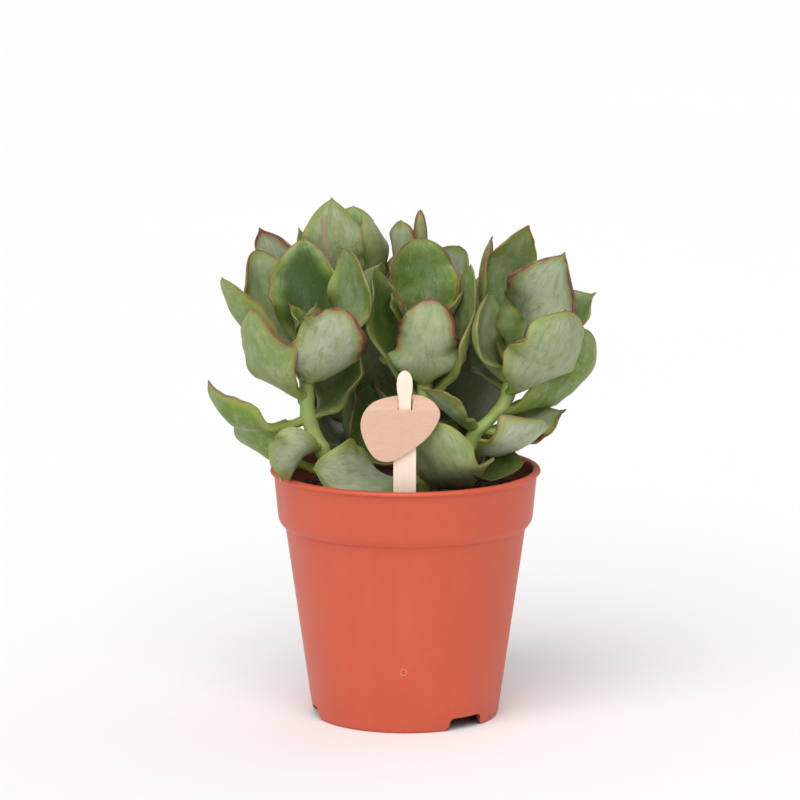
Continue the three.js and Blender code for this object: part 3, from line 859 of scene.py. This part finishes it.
def leaf_form(root, leaf, number):
    """The middle surface of a leaf as a function of place, as in the CAD model."""
    length, width = leaf[3:5]
    roll = leaf[5] if len(leaf) > 5 else 0
    widest = leaf[6] if len(leaf) > 6 else LEAF_WIDEST
    slope, spine, outward, up, side = leaf_spine(root, leaf, number)
    stations = np.arange(len(spine)) / SPINE_STEPS
    cup = mix(*CUP, draw(number, 1)) * CUPPED.get(number, 1)
    ripple = mix(*RIPPLE, draw(number, 2)) * width
    phase = draw(number, 3) * 2 * math.pi
    phases = [draw(number, 60 + k) * 2 * math.pi for k in range(4)]
    fine_waves = mix(*FINE_WAVES, draw(number, 6))
    back = mix(*TIP_BACK, draw(number, 10))
    off_middle = mix(-0.5, 0.5, draw(number, 11))
    keel = mix(*KEEL, draw(number, 12)) * width
    sharp = SHARPNESS.get(number, draw(number, 5))
    point_length = mix(*POINT_LENGTH, sharp)

    def half_width(along, across):
        outline = leaf_outline(along, widest, mix(*FULLNESS, sharp), mix(*BLUNTNESS, sharp))
        left = np.maximum(1 + point_length / length - along, 0) * length
        pointed = 0.7 * left ** 0.95 * smooth((along - 0.8) / 0.12) * min(width / 14, 1) + 0.02
        turn = np.where(across > 0, phases[0], phases[1])
        uneven = 1 + np.sin(math.pi * np.clip(along, 0, 1)) * (
            0.06 * np.sin(2 * math.pi * 2.1 * along + turn)
            + 0.025 * zigzag(2 * math.pi * 5.3 * along + 2 * turn))
        ear = 1 + EARS.get(number, 0) * np.exp(-((along - EAR_PLACE) / EAR_SPREAD) ** 2)
        return ((width / 2 * outline) ** 4 + pointed ** 4) ** 0.25 * uneven * ear

    def waved(along, across):
        """How far the blade stands off its cupped form."""
        swing = np.sin(math.pi * np.clip(along, 0, 1)) ** WAVE_ENDS
        edge = np.abs(across)
        lag = WAVE_LAG * smooth(across * 4 + 0.5)
        wave = ripple * edge ** WAVE_FADE * swing * np.sin(2 * math.pi * WAVES * along + phase + lag)
        turn = np.where(across > 0, phases[2], phases[3])
        crest = zigzag(2 * math.pi * fine_waves * along + turn)
        wave += FINE_WAVE * width * edge ** FINE_WAVE_FADE * swing * crest
        crease = across - off_middle * smooth(along * 1.3)
        wave += keel * (np.sqrt(crease ** 2 + KEEL_ROUND) - np.sqrt(KEEL_ROUND)) * swing
        return wave - back * smooth((along - 0.78) / 0.3) ** 2

    def form(along, across):
        middle = np.stack([np.interp(along, stations, spine[:, k]) for k in range(3)], 1)
        angle = slope(along)[:, None]
        inward = -outward * np.sin(angle) + up * np.cos(angle)
        outline = leaf_outline(along, widest, TIP_FULLNESS, TIP_BLUNTNESS)
        reach = half_width(along, across) * across
        bend = cup * smooth(along * 2) * mix(CUP_AT_ENDS, 1, outline) * across + 1e-6
        flat = reach * np.sin(bend) / bend
        lift = reach * (1 - np.cos(bend)) / bend + waved(along, across)
        tilt = math.radians(roll) * smooth(along * ROLL_EARLINESS)
        out = flat * np.cos(tilt) - lift * np.sin(tilt)
        raised = flat * np.sin(tilt) + lift * np.cos(tilt)
        return middle + side * out[:, None] + inward * raised[:, None]

    return form, half_width, point_length


def leaf_normal(form, along, across, full):
    """The way that the middle surface faces, from the slopes along and across it."""
    step = 0.012
    inside = np.clip(along, step, full - step)
    shrunk = np.clip(across, -1 + step, 1 - step)
    ahead = form(inside + step, across) - form(inside - step, across)
    aside = form(inside, shrunk + step) - form(inside, shrunk - step)
    normal = np.cross(ahead, aside)
    return normal / np.linalg.norm(normal, axis=1)[:, None]


def make_leaf(blank, root, leaf, number, age):
    """A copy of the blank, bent to the form of one leaf."""
    piece = copy_of(blank)
    form, half_width, point_length = leaf_form(root, leaf, number)
    length, width = leaf[3], leaf[4]
    scale = SMALL_LEAF_THICK if length < SMALL_LEAF else 1
    blank_points = points_of(piece)
    full = 1 + point_length / length
    along = (1 - (1 - np.clip(blank_points[:, 0], 0, 1)) ** 1.3) * full
    across = np.clip(blank_points[:, 1] / BLANK_HALF, -1, 1)
    face = blank_points[:, 2] / BLANK_THICK

    thick = scale * mix(LEAF_THICK_ROOT, LEAF_THICK_TIP, np.minimum(along, 1))
    thick = thick * mix(1, LEAF_EDGE, across ** 2)
    thick = thick * (1 - TIP_THINS * smooth((along - 0.86) / (full - 0.86)))
    groove = np.exp(-(across / GROOVE_WIDTH) ** 2) * smooth(along * 4)
    groove = groove * (1 - smooth((along - 0.6) / 0.35))
    dent = np.where(face > 0, GROOVE_DEPTH * groove, 0.0)
    phase = draw(number, 7) * 6
    uneven = np.sin(along * 9 + across * 3 + phase) * np.sin(across * 4 - along * 5 + phase)
    off = face * thick + (UNEVEN_FACE * uneven - dent) * scale
    place = form(along, across) + leaf_normal(form, along, across, full) * off[:, None]
    place_points(piece, place * MM)

    to_side = (1 - np.abs(across)) * half_width(along, across)
    to_tip = (full - along) * length
    across_rim = np.abs(face) * thick * smooth(1 - to_side / 1.2)
    give_marks(piece, {
        "margin": np.hypot(np.minimum(to_side, to_tip), across_rim),
        "inner": np.clip(face * 2.2 + 0.5, 0, 1),
        "along": along,
        "across": across,
        "tone": draw(number, 8),
        "age": age,
        "frosted": FROSTED.get(number, 0),
        "greened": GREENED.get(number, 0),
        "painted_hollow_shade": HOLLOW_SHADE.get(number, 0),
        "lined": LINED.get(number, mix(0.15, 0.8, draw(number, 13))),
        "edged": EDGED.get(number, 0),
        # painted shade: how far this leaf is darkened to stand in for the shade of other leaves
        "shade": PAINTED_SHADE.get(number, 0),
        "scarred": number == SCARRED,
    })
    unrolled = piece.data.uv_layers.new(name="blade")
    loops = np.empty(len(piece.data.loops), np.int32)
    piece.data.loops.foreach_get("vertex_index", loops)
    shift = draw(number, 9) * 10
    flat = np.stack([along[loops] * length, across[loops] * width], 1) / 40 + shift
    unrolled.data.foreach_set("uv", flat.ravel().astype(np.float32))
    return piece


def give_marks(piece, values):
    """Stores every mark that the leaf's material reads, nought where a value isn't given."""
    for name in LEAF_MARKS:
        mark(piece, name, values.get(name, 0))


def stem_points(way):
    """The stem's way, drawn down into the soil."""
    x, y, _ = way[0]
    return [(x, y, SOIL_EDGE - SOIL_DEPTH)] + list(way)


def stem_place(line, height):
    """The place at which a stem's line passes a height."""
    low, high = 0.0, 1.0
    while high - low > 1e-4:
        middle = (low + high) / 2
        if through(line, middle)[2] < height:
            low = middle
        else:
            high = middle
    return through(line, low)


def stalk_radius(ring, share, height, joints):
    """The stem's radius at one ring: tapered, swollen at the leaf pairs and rounded at its end."""
    swell = sum(math.exp(-((height - joint - 0.4) / JOINT_REACH) ** 2) for joint in joints)
    radius = mix(STEM_RADIUS_FOOT, STEM_RADIUS_TOP, share)
    radius *= 1 + JOINT_SWELL * min(swell, 1) + 0.02 * math.sin(ring * 2.1)
    if share > STEM_ROUNDS:
        radius *= math.sqrt(max(1 - ((share - STEM_ROUNDS) / 0.075) ** 2, 0.05))
    return radius


def make_stalk(name, stem):
    """A disc drawn up the stem's way, swollen where a pair of leaves joins it."""
    line = stem_points(stem["way"])
    joints = [pair[0] for pair in stem["pairs"]]
    shares = [ring / STEM_RINGS for ring in range(STEM_RINGS + 1)]
    places = [through(line, share) for share in shares]
    radii = [stalk_radius(ring, share, place[2], joints)
             for ring, (share, place) in enumerate(zip(shares, places))]
    piece = drawn_up(name + "_stalk", STEM_SIDES, list(zip(places, radii)))
    give_marks(piece, {
        "margin": 9,
        "tone": 0.5,
        # painted shade: the back stems' stalks are darkened as if shaded by the leaves in front
        "shade": 0.7 if "back" in name else 0,
        "age": smooth((104 - points_of(piece)[:, 2] / MM) / 26),
    })
    piece.data.uv_layers.new(name="blade")
    return piece


def make_leafy_stem(name, stem, blank, first_number):
    """The stalk with all its leaves, which are numbered upward from the first number."""
    line = stem_points(stem["way"])
    pieces = [make_stalk(name, stem)]
    number = first_number
    for height, *leaves in stem["pairs"]:
        root = stem_place(line, height)
        age = float(smooth((112 - height) / 30))
        for leaf in leaves:
            pieces.append(make_leaf(blank, root, leaf, number, age))
            number += 1
    piece = join(pieces, name + "_leaves")
    soften(piece, 70)
    return piece


# Finishes

def colour(red, green, blue):
    """A colour from its 0 to 255 screen values."""
    return tuple(((v / 255 + 0.055) / 1.055) ** 2.4 if v > 10 else v / 255 / 12.92
                 for v in (red, green, blue)) + (1,)


class Sheet:
    """A node tree with short ways to add and link its nodes."""

    def __init__(self, tree):
        self.tree = tree

    def feed(self, socket, value):
        if isinstance(value, bpy.types.NodeSocket):
            self.tree.links.new(value, socket)
        elif value is not None:
            socket.default_value = value

    def node(self, kind, settings=None, **inputs):
        node = self.tree.nodes.new(kind)
        for name, value in (settings or {}).items():
            setattr(node, name, value)
        for name, value in inputs.items():
            self.feed(node.inputs[name.replace("_", " ")], value)
        return node

    def group(self, tree, **inputs):
        return self.node("ShaderNodeGroup", {"node_tree": tree}, **inputs)

    def math(self, operation, one, two=None, clamp=False):
        node = self.node("ShaderNodeMath", {"operation": operation, "use_clamp": clamp})
        self.feed(node.inputs[0], one)
        self.feed(node.inputs[1], two)
        return node.outputs[0]

    def times(self, one, two, clamp=False):
        return self.math("MULTIPLY", one, two, clamp)

    def plus(self, one, two):
        return self.math("ADD", one, two)

    def minus(self, one, two):
        return self.math("SUBTRACT", one, two)

    def ramp(self, value, low, high, to_low=0.0, to_high=1.0):
        node = self.node("ShaderNodeMapRange", {"interpolation_type": "SMOOTHSTEP"}, Value=value,
                         From_Min=low, From_Max=high, To_Min=to_low, To_Max=to_high)
        return node.outputs["Result"]

    def blend(self, mask, one, two):
        node = self.node("ShaderNodeMix", {"data_type": "RGBA"})
        self.feed(node.inputs["Factor"], mask)
        self.feed(node.inputs[6], one)
        self.feed(node.inputs[7], two)
        return node.outputs[2]

    def tint(self, body, mask, share, towards):
        """A body colour drawn towards another, up to a share, where a mask is."""
        return self.blend(self.times(mask, share), body, towards)

    def noise(self, vector, scale, detail=3.0, rough=0.55, warp=0.0):
        node = self.node("ShaderNodeTexNoise", Vector=vector, Scale=scale, Detail=detail,
                         Roughness=rough, Distortion=warp)
        return node.outputs["Fac"]

    def stretch(self, vector, scale):
        return self.node("ShaderNodeMapping", Vector=vector, Scale=scale).outputs["Vector"]

    def read(self, name):
        """The value that a piece's points carry under a name."""
        return self.node("ShaderNodeAttribute", {"attribute_name": name}).outputs["Fac"]

    def bump(self, shader, height, distance, strength):
        node = self.node("ShaderNodeBump", Height=height, Distance=distance * MM,
                         Strength=strength)
        self.feed(shader.inputs["Normal"], node.outputs["Normal"])


def new_group(name, inputs, outputs):
    """A node group whose inputs are numbers, or a vector where the value is None."""
    tree = bpy.data.node_groups.new(name, "ShaderNodeTree")
    for label, value in inputs.items():
        kind = "NodeSocketVector" if value is None else "NodeSocketFloat"
        socket = tree.interface.new_socket(label, in_out="INPUT", socket_type=kind)
        if value is not None:
            socket.default_value = value
    for label in outputs:
        tree.interface.new_socket(label, in_out="OUTPUT", socket_type="NodeSocketFloat")
    source = tree.nodes.new("NodeGroupInput").outputs
    sink = tree.nodes.new("NodeGroupOutput").inputs
    return tree, Sheet(tree), source, sink


def mottle_group():
    """Soft patches at two sizes."""
    tree, sheet, source, sink = new_group(
        "mottle", {"Vector": None, "Scale": 100.0, "Low": 0.4, "High": 0.65}, ["Mask"])
    broad = sheet.noise(source["Vector"], source["Scale"], 3.0, 0.6, 0.4)
    fine = sheet.noise(source["Vector"], sheet.times(source["Scale"], 4.3), 2.0)
    both = sheet.plus(sheet.times(broad, 0.72), sheet.times(fine, 0.28))
    sheet.feed(sink["Mask"], sheet.ramp(both, source["Low"], source["High"]))
    return tree


def speckle_group():
    """Small round spots, some of them missing."""
    tree, sheet, source, sink = new_group(
        "speckle", {"Vector": None, "Scale": 900.0, "Size": 0.2, "Share": 0.5}, ["Mask"])
    cells = sheet.node("ShaderNodeTexVoronoi", Vector=source["Vector"], Scale=source["Scale"])
    spot = sheet.ramp(cells.outputs["Distance"], source["Size"], 0.0)
    pick = sheet.node("ShaderNodeSeparateColor", Color=cells.outputs["Color"])
    kept = sheet.math("LESS_THAN", pick.outputs[0], source["Share"])
    sheet.feed(sink["Mask"], sheet.times(spot, kept))
    return tree


def grain_group():
    """Wood grain drawn out along one way of the given vector."""
    tree, sheet, source, sink = new_group(
        "grain", {"Vector": None, "Scale": 1.0}, ["Streak", "Pore", "Height"])
    wide = sheet.noise(source["Vector"], source["Scale"], 4.0, 0.6, 0.8)
    thin = sheet.noise(source["Vector"], sheet.times(source["Scale"], 5.0), 3.0, 0.65)
    pore = sheet.ramp(thin, 0.6, 0.72)
    sheet.feed(sink["Streak"], sheet.ramp(wide, 0.35, 0.68))
    sheet.feed(sink["Pore"], pore)
    sheet.feed(sink["Height"], sheet.minus(wide, sheet.times(pore, 0.6)))
    return tree


def crease_group():
    """Thin branching creases, broken up, as on a leaf that has dried a little."""
    tree, sheet, source, sink = new_group("crease", {"Vector": None, "Scale": 1.0}, ["Line"])
    sway = sheet.noise(source["Vector"], sheet.times(source["Scale"], 1.7), 3.0)
    shifted = sheet.node("ShaderNodeVectorMath", {"operation": "ADD"})
    sheet.feed(shifted.inputs[0], source["Vector"])
    sheet.feed(shifted.inputs[1], sway)
    cells = sheet.node("ShaderNodeTexVoronoi", {"feature": "DISTANCE_TO_EDGE"},
                       Vector=shifted.outputs[0], Scale=source["Scale"])
    thin = sheet.ramp(cells.outputs["Distance"], 0.07, 0.0)
    kept = sheet.ramp(sheet.noise(source["Vector"], source["Scale"], 2.0), 0.46, 0.6)
    sheet.feed(sink["Line"], sheet.times(thin, kept))
    return tree


def band_group():
    """How much of a line lies at a distance from an edge, its width wandering a little."""
    tree, sheet, source, sink = new_group(
        "band", {"Distance": 0.0, "Width": 1.0, "Fade": 0.5, "Wander": 0.0}, ["Mask"])
    reach = sheet.plus(source["Width"], source["Wander"])
    past = sheet.minus(source["Distance"], reach)
    sheet.feed(sink["Mask"], sheet.ramp(past, source["Fade"], 0.0))
    return tree


MOTTLE = mottle_group()
SPECKLE = speckle_group()
GRAIN = grain_group()
CREASE = crease_group()
BAND = band_group()


def mottle(sheet, vector, scale, low, high):
    return sheet.group(MOTTLE, Vector=vector, Scale=scale, Low=low, High=high).outputs["Mask"]


def speckle(sheet, vector, scale, size, share):
    return sheet.group(SPECKLE, Vector=vector, Scale=scale, Size=size, Share=share).outputs["Mask"]


def band(sheet, width, fade, wander):
    """A line along the leaf's margin."""
    return sheet.group(BAND, Distance=sheet.read("margin"), Width=width, Fade=fade,
                       Wander=wander).outputs["Mask"]


def new_material(name):
    material = bpy.data.materials.new(name)
    material.use_nodes = True
    sheet = Sheet(material.node_tree)
    shader = material.node_tree.nodes["Principled BSDF"]
    place = sheet.node("ShaderNodeTexCoord").outputs["Object"]
    return material, sheet, shader, place


def leaf_ground(sheet, place, blade, hidden, lines):
    """Grey bloom over green outside, rich green in the cup, and clouds and creases on both."""
    along, middle = sheet.read("along"), sheet.ramp(sheet.read("margin"), 0.6, 6.0)
    broad = mottle(sheet, place, 70.0, 0.36, 0.64)
    small = mottle(sheet, place, 230.0, 0.42, 0.68)
    patch = mottle(sheet, place, 120.0, 0.46, 0.66)
    streak = sheet.noise(sheet.stretch(blade, (3.0, 24.0, 1.0)), 1.0, 3.0, 0.6, 0.5)
    cloud = sheet.noise(sheet.stretch(blade, (7.0, 9.0, 1.0)), 1.0, 4.0, 0.62, 0.7)

    bloom = sheet.times(middle, sheet.ramp(broad, 0.0, 1.0, 0.35, 1.0))
    pale = sheet.blend(bloom, colour(128, 146, 84), colour(172, 178, 152))
    pale = sheet.tint(pale, sheet.ramp(sheet.read("tone"), 0.4, 1.0), 0.4, colour(142, 156, 92))
    frost = sheet.times(sheet.read("frosted"), middle)
    pale = sheet.tint(pale, frost, 0.5, colour(192, 196, 176))
    verdure = sheet.times(sheet.read("greened"), sheet.ramp(small, 0.0, 1.0, 1.0, 0.75))
    verdure = sheet.times(verdure, sheet.ramp(along, 1.0, 0.75, 0.3, 1.0))
    pale = sheet.blend(verdure, pale, colour(110, 134, 50))
    rich = sheet.blend(broad, colour(84, 110, 32), colour(108, 134, 56))
    rich = sheet.tint(rich, patch, 0.5, colour(122, 146, 84))

    body = sheet.blend(hidden, pale, rich)
    body = sheet.tint(body, sheet.ramp(streak, 0.5, 0.75), 0.3, colour(104, 126, 58))
    body = sheet.tint(body, small, 0.2, colour(178, 184, 150))
    body = sheet.blend(sheet.ramp(cloud, 0.5, 0.68, 0.0, 0.4), body, colour(102, 128, 62))
    body = sheet.blend(sheet.ramp(cloud, 0.44, 0.3, 0.0, 0.3), body, colour(176, 184, 148))
    creased = sheet.times(lines, sheet.ramp(small, 0.0, 1.0, 0.15, 0.5))
    return sheet.blend(creased, body, colour(88, 106, 56)), bloom


def leaf_root_and_painted_shade(sheet, body, hidden):
    """The pale root, woody with age, and painted shade deep in the cup and in the middle of a
    hollow.
    """
    along = sheet.read("along")
    root = sheet.ramp(along, 0.3, 0.0)
    body = sheet.tint(body, root, 0.8, colour(158, 180, 92))
    woody = sheet.times(root, sheet.ramp(sheet.read("age"), 0.35, 1.0))
    body = sheet.tint(body, woody, 0.75, colour(112, 98, 54))
    # Painted shade: the inner face darkened toward its root, deep in the rosette
    cup_shade_mask = sheet.times(hidden, sheet.ramp(along, 0.66, 0.15))
    body = sheet.tint(body, cup_shade_mask, 0.7, colour(52, 66, 20))
    # Painted shade: the middle of a hollow leaf darkened almost to black-green
    hollow_shade_mask = sheet.times(hidden, sheet.ramp(sheet.read("margin"), 2.2, 6.5))
    return sheet.tint(body, sheet.times(hollow_shade_mask, sheet.read("painted_hollow_shade")), 0.9, colour(48, 76, 6))


def leaf_edges(sheet, place, body, wander):
    """The yellow-green margin, the rust that spreads from the edge and the brown line on it."""
    glow = band(sheet, 0.3, 2.4, sheet.times(wander, 1.4))
    lit = sheet.ramp(sheet.noise(place, 62.0, 2.0), 0.36, 0.62, 0.05, 0.55)
    body = sheet.blend(sheet.times(glow, lit), body, colour(158, 170, 74))
    edged = sheet.read("edged")
    patchy = sheet.ramp(sheet.noise(place, 85.0, 3.0), 0.36, 0.56, 0.1, 1.0)
    patchy = sheet.times(patchy, sheet.ramp(sheet.read("along"), 0.25, 0.65, 0.2, 1.0))
    patchy = sheet.times(patchy, sheet.plus(sheet.read("lined"), 0.1), clamp=True)
    spread = sheet.plus(wander, sheet.times(sheet.times(edged, wander), 1.5))
    rusty = sheet.times(patchy, sheet.ramp(edged, 0.0, 1.0, 0.4, 0.75))
    rust = sheet.times(band(sheet, 0.2, 1.7, spread), rusty)
    body = sheet.blend(rust, body, colour(150, 104, 80))
    line = band(sheet, 0.2, 0.62, sheet.times(sheet.plus(wander, edged), 0.5))
    blush = sheet.blend(wander, colour(86, 36, 28), colour(140, 86, 64))
    return sheet.blend(sheet.times(line, patchy), body, blush)


def leaf_specks(sheet, place, body, dots):
    """Fine dots and dry flecks."""
    body = sheet.tint(body, dots, 0.25, colour(84, 102, 50))
    flecks = speckle(sheet, place, 210.0, 0.13, 0.2)
    return sheet.tint(body, flecks, 0.45, colour(124, 88, 56))


def leaf_scar(sheet, body, wander, dots):
    """The dry scar that runs beside the middle of one leaf, and where it lies."""
    along = sheet.read("along")
    aside = sheet.plus(sheet.read("across"), sheet.times(wander, 0.2))
    aside = sheet.minus(aside, sheet.ramp(along, 0.86, 0.5, 0.0, 0.16))
    aside = sheet.math("ABSOLUTE", sheet.plus(aside, 0.22))
    scar = sheet.times(sheet.ramp(aside, 0.14, 0.07), sheet.read("scarred"))
    scar = sheet.times(scar, sheet.ramp(along, 0.42, 0.5))
    scar = sheet.times(scar, sheet.ramp(along, 0.9, 0.86))
    dry = sheet.blend(sheet.ramp(along, 0.6, 0.8), colour(166, 160, 126), colour(150, 134, 104))
    dry = sheet.tint(dry, dots, 0.8, colour(96, 66, 44))
    return sheet.tint(body, scar, 0.85, dry), scar


def leaf_finish():
    """Fleshy leaf: the ground, the root and painted shade, the edges and the specks laid on one by
    one, then the painted shade of other leaves.
    """
    material, sheet, shader, place = new_material("jade_leaf")
    blade = sheet.node("ShaderNodeUVMap", {"uv_map": "blade"}).outputs["UV"]
    creases = sheet.group(CREASE, Vector=sheet.stretch(blade, (6.0, 10.0, 1.0)), Scale=1.0)
    lines = creases.outputs["Line"]
    wander = sheet.noise(place, 330.0, 2.0)
    dots = speckle(sheet, place, 640.0, 0.24, 0.45)
    inner = sheet.read("inner")
    hidden = sheet.minus(inner, sheet.times(inner, sheet.read("frosted")))

    body, bloom = leaf_ground(sheet, place, blade, hidden, lines)
    body = leaf_root_and_painted_shade(sheet, body, hidden)
    body = leaf_edges(sheet, place, body, wander)
    body = leaf_specks(sheet, place, body, dots)
    body, scar = leaf_scar(sheet, body, wander, dots)
    # Painted shade: the colour drawn toward dark olive where other leaves would shade the leaf or
    # stalk
    body = sheet.tint(body, sheet.read("shade"), 0.75, colour(56, 62, 28))
    sheet.feed(shader.inputs["Base Color"], body)

    sheen = sheet.ramp(bloom, 0.0, 1.0, 0.4, 0.56)
    sheet.feed(shader.inputs["Roughness"], sheet.minus(sheen, sheet.times(hidden, 0.08)))
    shader.inputs["Subsurface Weight"].default_value = 0.15
    shader.inputs["Subsurface Radius"].default_value = (0.7, 1.0, 0.2)
    shader.inputs["Subsurface Scale"].default_value = 0.0025
    shader.inputs["Specular IOR Level"].default_value = 0.4
    skin = sheet.plus(sheet.times(sheet.noise(place, 900.0, 2.0), 0.3),
                      sheet.noise(place, 170.0, 2.0))
    skin = sheet.minus(skin, sheet.times(lines, 0.5))
    skin = sheet.plus(skin, sheet.times(scar, 0.8))
    sheet.bump(shader, skin, 0.3, 0.6)
    return material


def gate_painted_highlight(sheet, place, body):
    """A painted highlight: the paler ring on the gate mark, standing in for the light its raised
    edge catches.
    """
    from_gate = sheet.node("ShaderNodeVectorMath", {"operation": "DISTANCE"})
    sheet.feed(from_gate.inputs[0], place)
    sheet.feed(from_gate.inputs[1], (GATE_X * MM, -(GATE_WALL + 0.16) * MM, GATE_HEIGHT * MM))
    ring = sheet.minus(from_gate.outputs["Value"], (GATE_RADIUS + 0.02) * MM)
    ring = sheet.ramp(sheet.math("ABSOLUTE", ring), 0.3 * MM, 0.12 * MM)
    return sheet.tint(body, ring, 0.55, colour(236, 150, 122))


def pot_finish():
    """Mottled terracotta plastic, dusty at the foot, with painted shade on the inner wall above the
    soil.
    """
    material, sheet, shader, place = new_material("terracotta_plastic")
    long = sheet.stretch(place, (1.0, 1.0, 0.22))
    height = sheet.node("ShaderNodeSeparateXYZ", Vector=place).outputs["Z"]
    drift = mottle(sheet, long, 42.0, 0.36, 0.66)
    fleck = mottle(sheet, place, 420.0, 0.5, 0.72)
    body = sheet.blend(drift, colour(203, 83, 53), colour(208, 88, 57))
    body = sheet.tint(body, fleck, 0.14, colour(208, 112, 86))
    dust = speckle(sheet, place, 520.0, 0.16, 0.12)
    body = sheet.tint(body, dust, 0.35, colour(160, 66, 46))
    foot = sheet.times(sheet.ramp(height, 12 * MM, 0.0), drift)
    body = sheet.tint(body, foot, 0.25, colour(172, 84, 62))
    # Painted shade: the inner wall above the soil darkened nearly to black-brown
    below_lip = sheet.ramp(height, (POT_HEIGHT - 0.2) * MM, (POT_HEIGHT - LIP_HEIGHT) * MM)
    inside_shade_mask = sheet.times(sheet.read("inside"), below_lip)
    inside_shade_mask = sheet.times(inside_shade_mask, sheet.ramp(fleck, 0.0, 1.0, 0.84, 0.95))
    body = sheet.blend(inside_shade_mask, body, colour(46, 22, 16))
    # The gate mark's ring gets a painted highlight
    sheet.feed(shader.inputs["Base Color"], gate_painted_highlight(sheet, place, body))
    sheet.feed(shader.inputs["Roughness"], sheet.ramp(drift, 0.0, 1.0, 0.42, 0.52))
    grain = sheet.plus(sheet.noise(place, 2600.0, 2.0),
                       sheet.times(sheet.noise(long, 120.0, 3.0), 1.5))
    sheet.bump(shader, grain, 0.06, 0.5)
    return material


def soil_finish():
    """Dark peat with browner grains and light fibres."""
    material, sheet, shader, place = new_material("peat")
    broad = mottle(sheet, place, 110.0, 0.35, 0.65)
    fine = mottle(sheet, place, 620.0, 0.4, 0.62)
    body = sheet.blend(broad, colour(40, 28, 20), colour(66, 46, 32))
    body = sheet.tint(body, fine, 0.5, colour(88, 64, 44))
    fibre = sheet.group(GRAIN, Vector=sheet.stretch(place, (1.0, 0.25, 1.0)), Scale=900.0)
    body = sheet.tint(body, fibre.outputs["Pore"], 0.5, colour(118, 88, 58))
    sheet.feed(shader.inputs["Base Color"], body)
    shader.inputs["Roughness"].default_value = 0.95
    sheet.bump(shader, sheet.noise(place, 1400.0, 5.0, 0.65), 0.5, 0.9)
    return material


def wood_finish(name, along, light, dark, pore, depth):
    """Wood whose grain runs along an axis given as a stretch of the place."""
    material, sheet, shader, place = new_material(name)
    grain = sheet.group(GRAIN, Vector=sheet.stretch(place, along), Scale=1.0)
    body = sheet.blend(grain.outputs["Streak"], light, dark)
    body = sheet.tint(body, grain.outputs["Pore"], depth, pore)
    wider = sheet.stretch(place, tuple(v * 0.6 for v in along))
    body = sheet.tint(body, speckle(sheet, wider, 3.0, 0.3, 0.25), 0.35, pore)
    sheet.feed(shader.inputs["Base Color"], body)
    shader.inputs["Roughness"].default_value = 0.62
    sheet.bump(shader, grain.outputs["Height"], 0.08, 0.6)
    return material


# Floor, light and camera

def make_floor():
    """A pale matt floor, wide enough to fill the picture."""
    deselect()
    bpy.ops.mesh.primitive_plane_add(size=30)
    piece = take("studio_floor")
    material, sheet, shader, place = new_material("studio_white")
    tone = sheet.noise(place, 1.5, 2.0)
    sheet.feed(shader.inputs["Base Color"],
               sheet.blend(tone, colour(243, 243, 243), colour(246, 246, 246)))
    shader.inputs["Roughness"].default_value = 0.9
    give(piece, material)


def add_sun(name, place, spread, energy):
    """A soft light from a direction, as even over the floor as a large studio box."""
    light = bpy.data.lights.new(name, "SUN")
    light.angle = math.radians(spread)
    light.energy = energy
    piece = bpy.data.objects.new(name, light)
    bpy.context.scene.collection.objects.link(piece)
    piece.location = place
    piece.rotation_euler = (-Vector(place)).to_track_quat("-Z", "Y").to_euler()


def add_world():
    """An even white glow from all round."""
    world = bpy.data.worlds.new("studio")
    bpy.context.scene.world = world
    world.use_nodes = True
    glow = world.node_tree.nodes["Background"]
    glow.inputs["Color"].default_value = (1, 1, 1, 1)
    glow.inputs["Strength"].default_value = 0.45


def add_camera():
    """A long lens, a little above the plant and looking slightly down."""
    aim = Vector((-1.83, 0, 106.2)) * MM
    distance = 1.5
    rise = math.radians(10)
    camera = bpy.data.cameras.new("camera")
    camera.sensor_width = 36
    camera.lens = 203.3
    piece = bpy.data.objects.new("camera", camera)
    bpy.context.scene.collection.objects.link(piece)
    piece.location = aim + distance * Vector((0, -math.cos(rise), math.sin(rise)))
    piece.rotation_euler = (aim - piece.location).to_track_quat("-Z", "Y").to_euler()
    bpy.context.scene.camera = piece


# Scene

def give(piece, material):
    piece.data.materials.clear()
    piece.data.materials.append(material)


LEAF = leaf_finish()
POT = pot_finish()
SOIL = soil_finish()
PICK_WOOD = wood_finish("pick_wood", (900.0, 900.0, 60.0), colour(250, 230, 212),
                        colour(246, 222, 202), colour(226, 192, 164), 0.3)
TAG_WOOD = wood_finish("tag_wood", (380.0, 1400.0, 1300.0), colour(220, 180, 156),
                       colour(215, 174, 149), colour(186, 140, 112), 0.25)

for piece, material, node, slot in (
        (make_pot(), POT, "pot", "pot_plastic"),
        (make_soil(), SOIL, "soil", "potting_soil"),
        (make_pick(), PICK_WOOD, "pick", "pick_wood"),
        (make_tag(), TAG_WOOD, "tag", "tag_wood")):
    give(piece, material)
    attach(piece, "root")
    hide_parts(node)

blank = make_leaf_blank()
for place, (name, stem) in enumerate(STEMS.items()):
    leafy = make_leafy_stem(name, stem, blank, place * 100 + 1)
    give(leafy, LEAF)
    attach(leafy, "root")
    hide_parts(name)
bpy.data.objects.remove(blank)

make_floor()
add_sun("key", (-0.2, -0.8, 1.0), 55, 2.3)
add_sun("rim", (0.5, 0.8, 1.2), 60, 0.35)
add_world()
add_camera()
bpy.context.scene.view_settings.view_transform = "Standard"
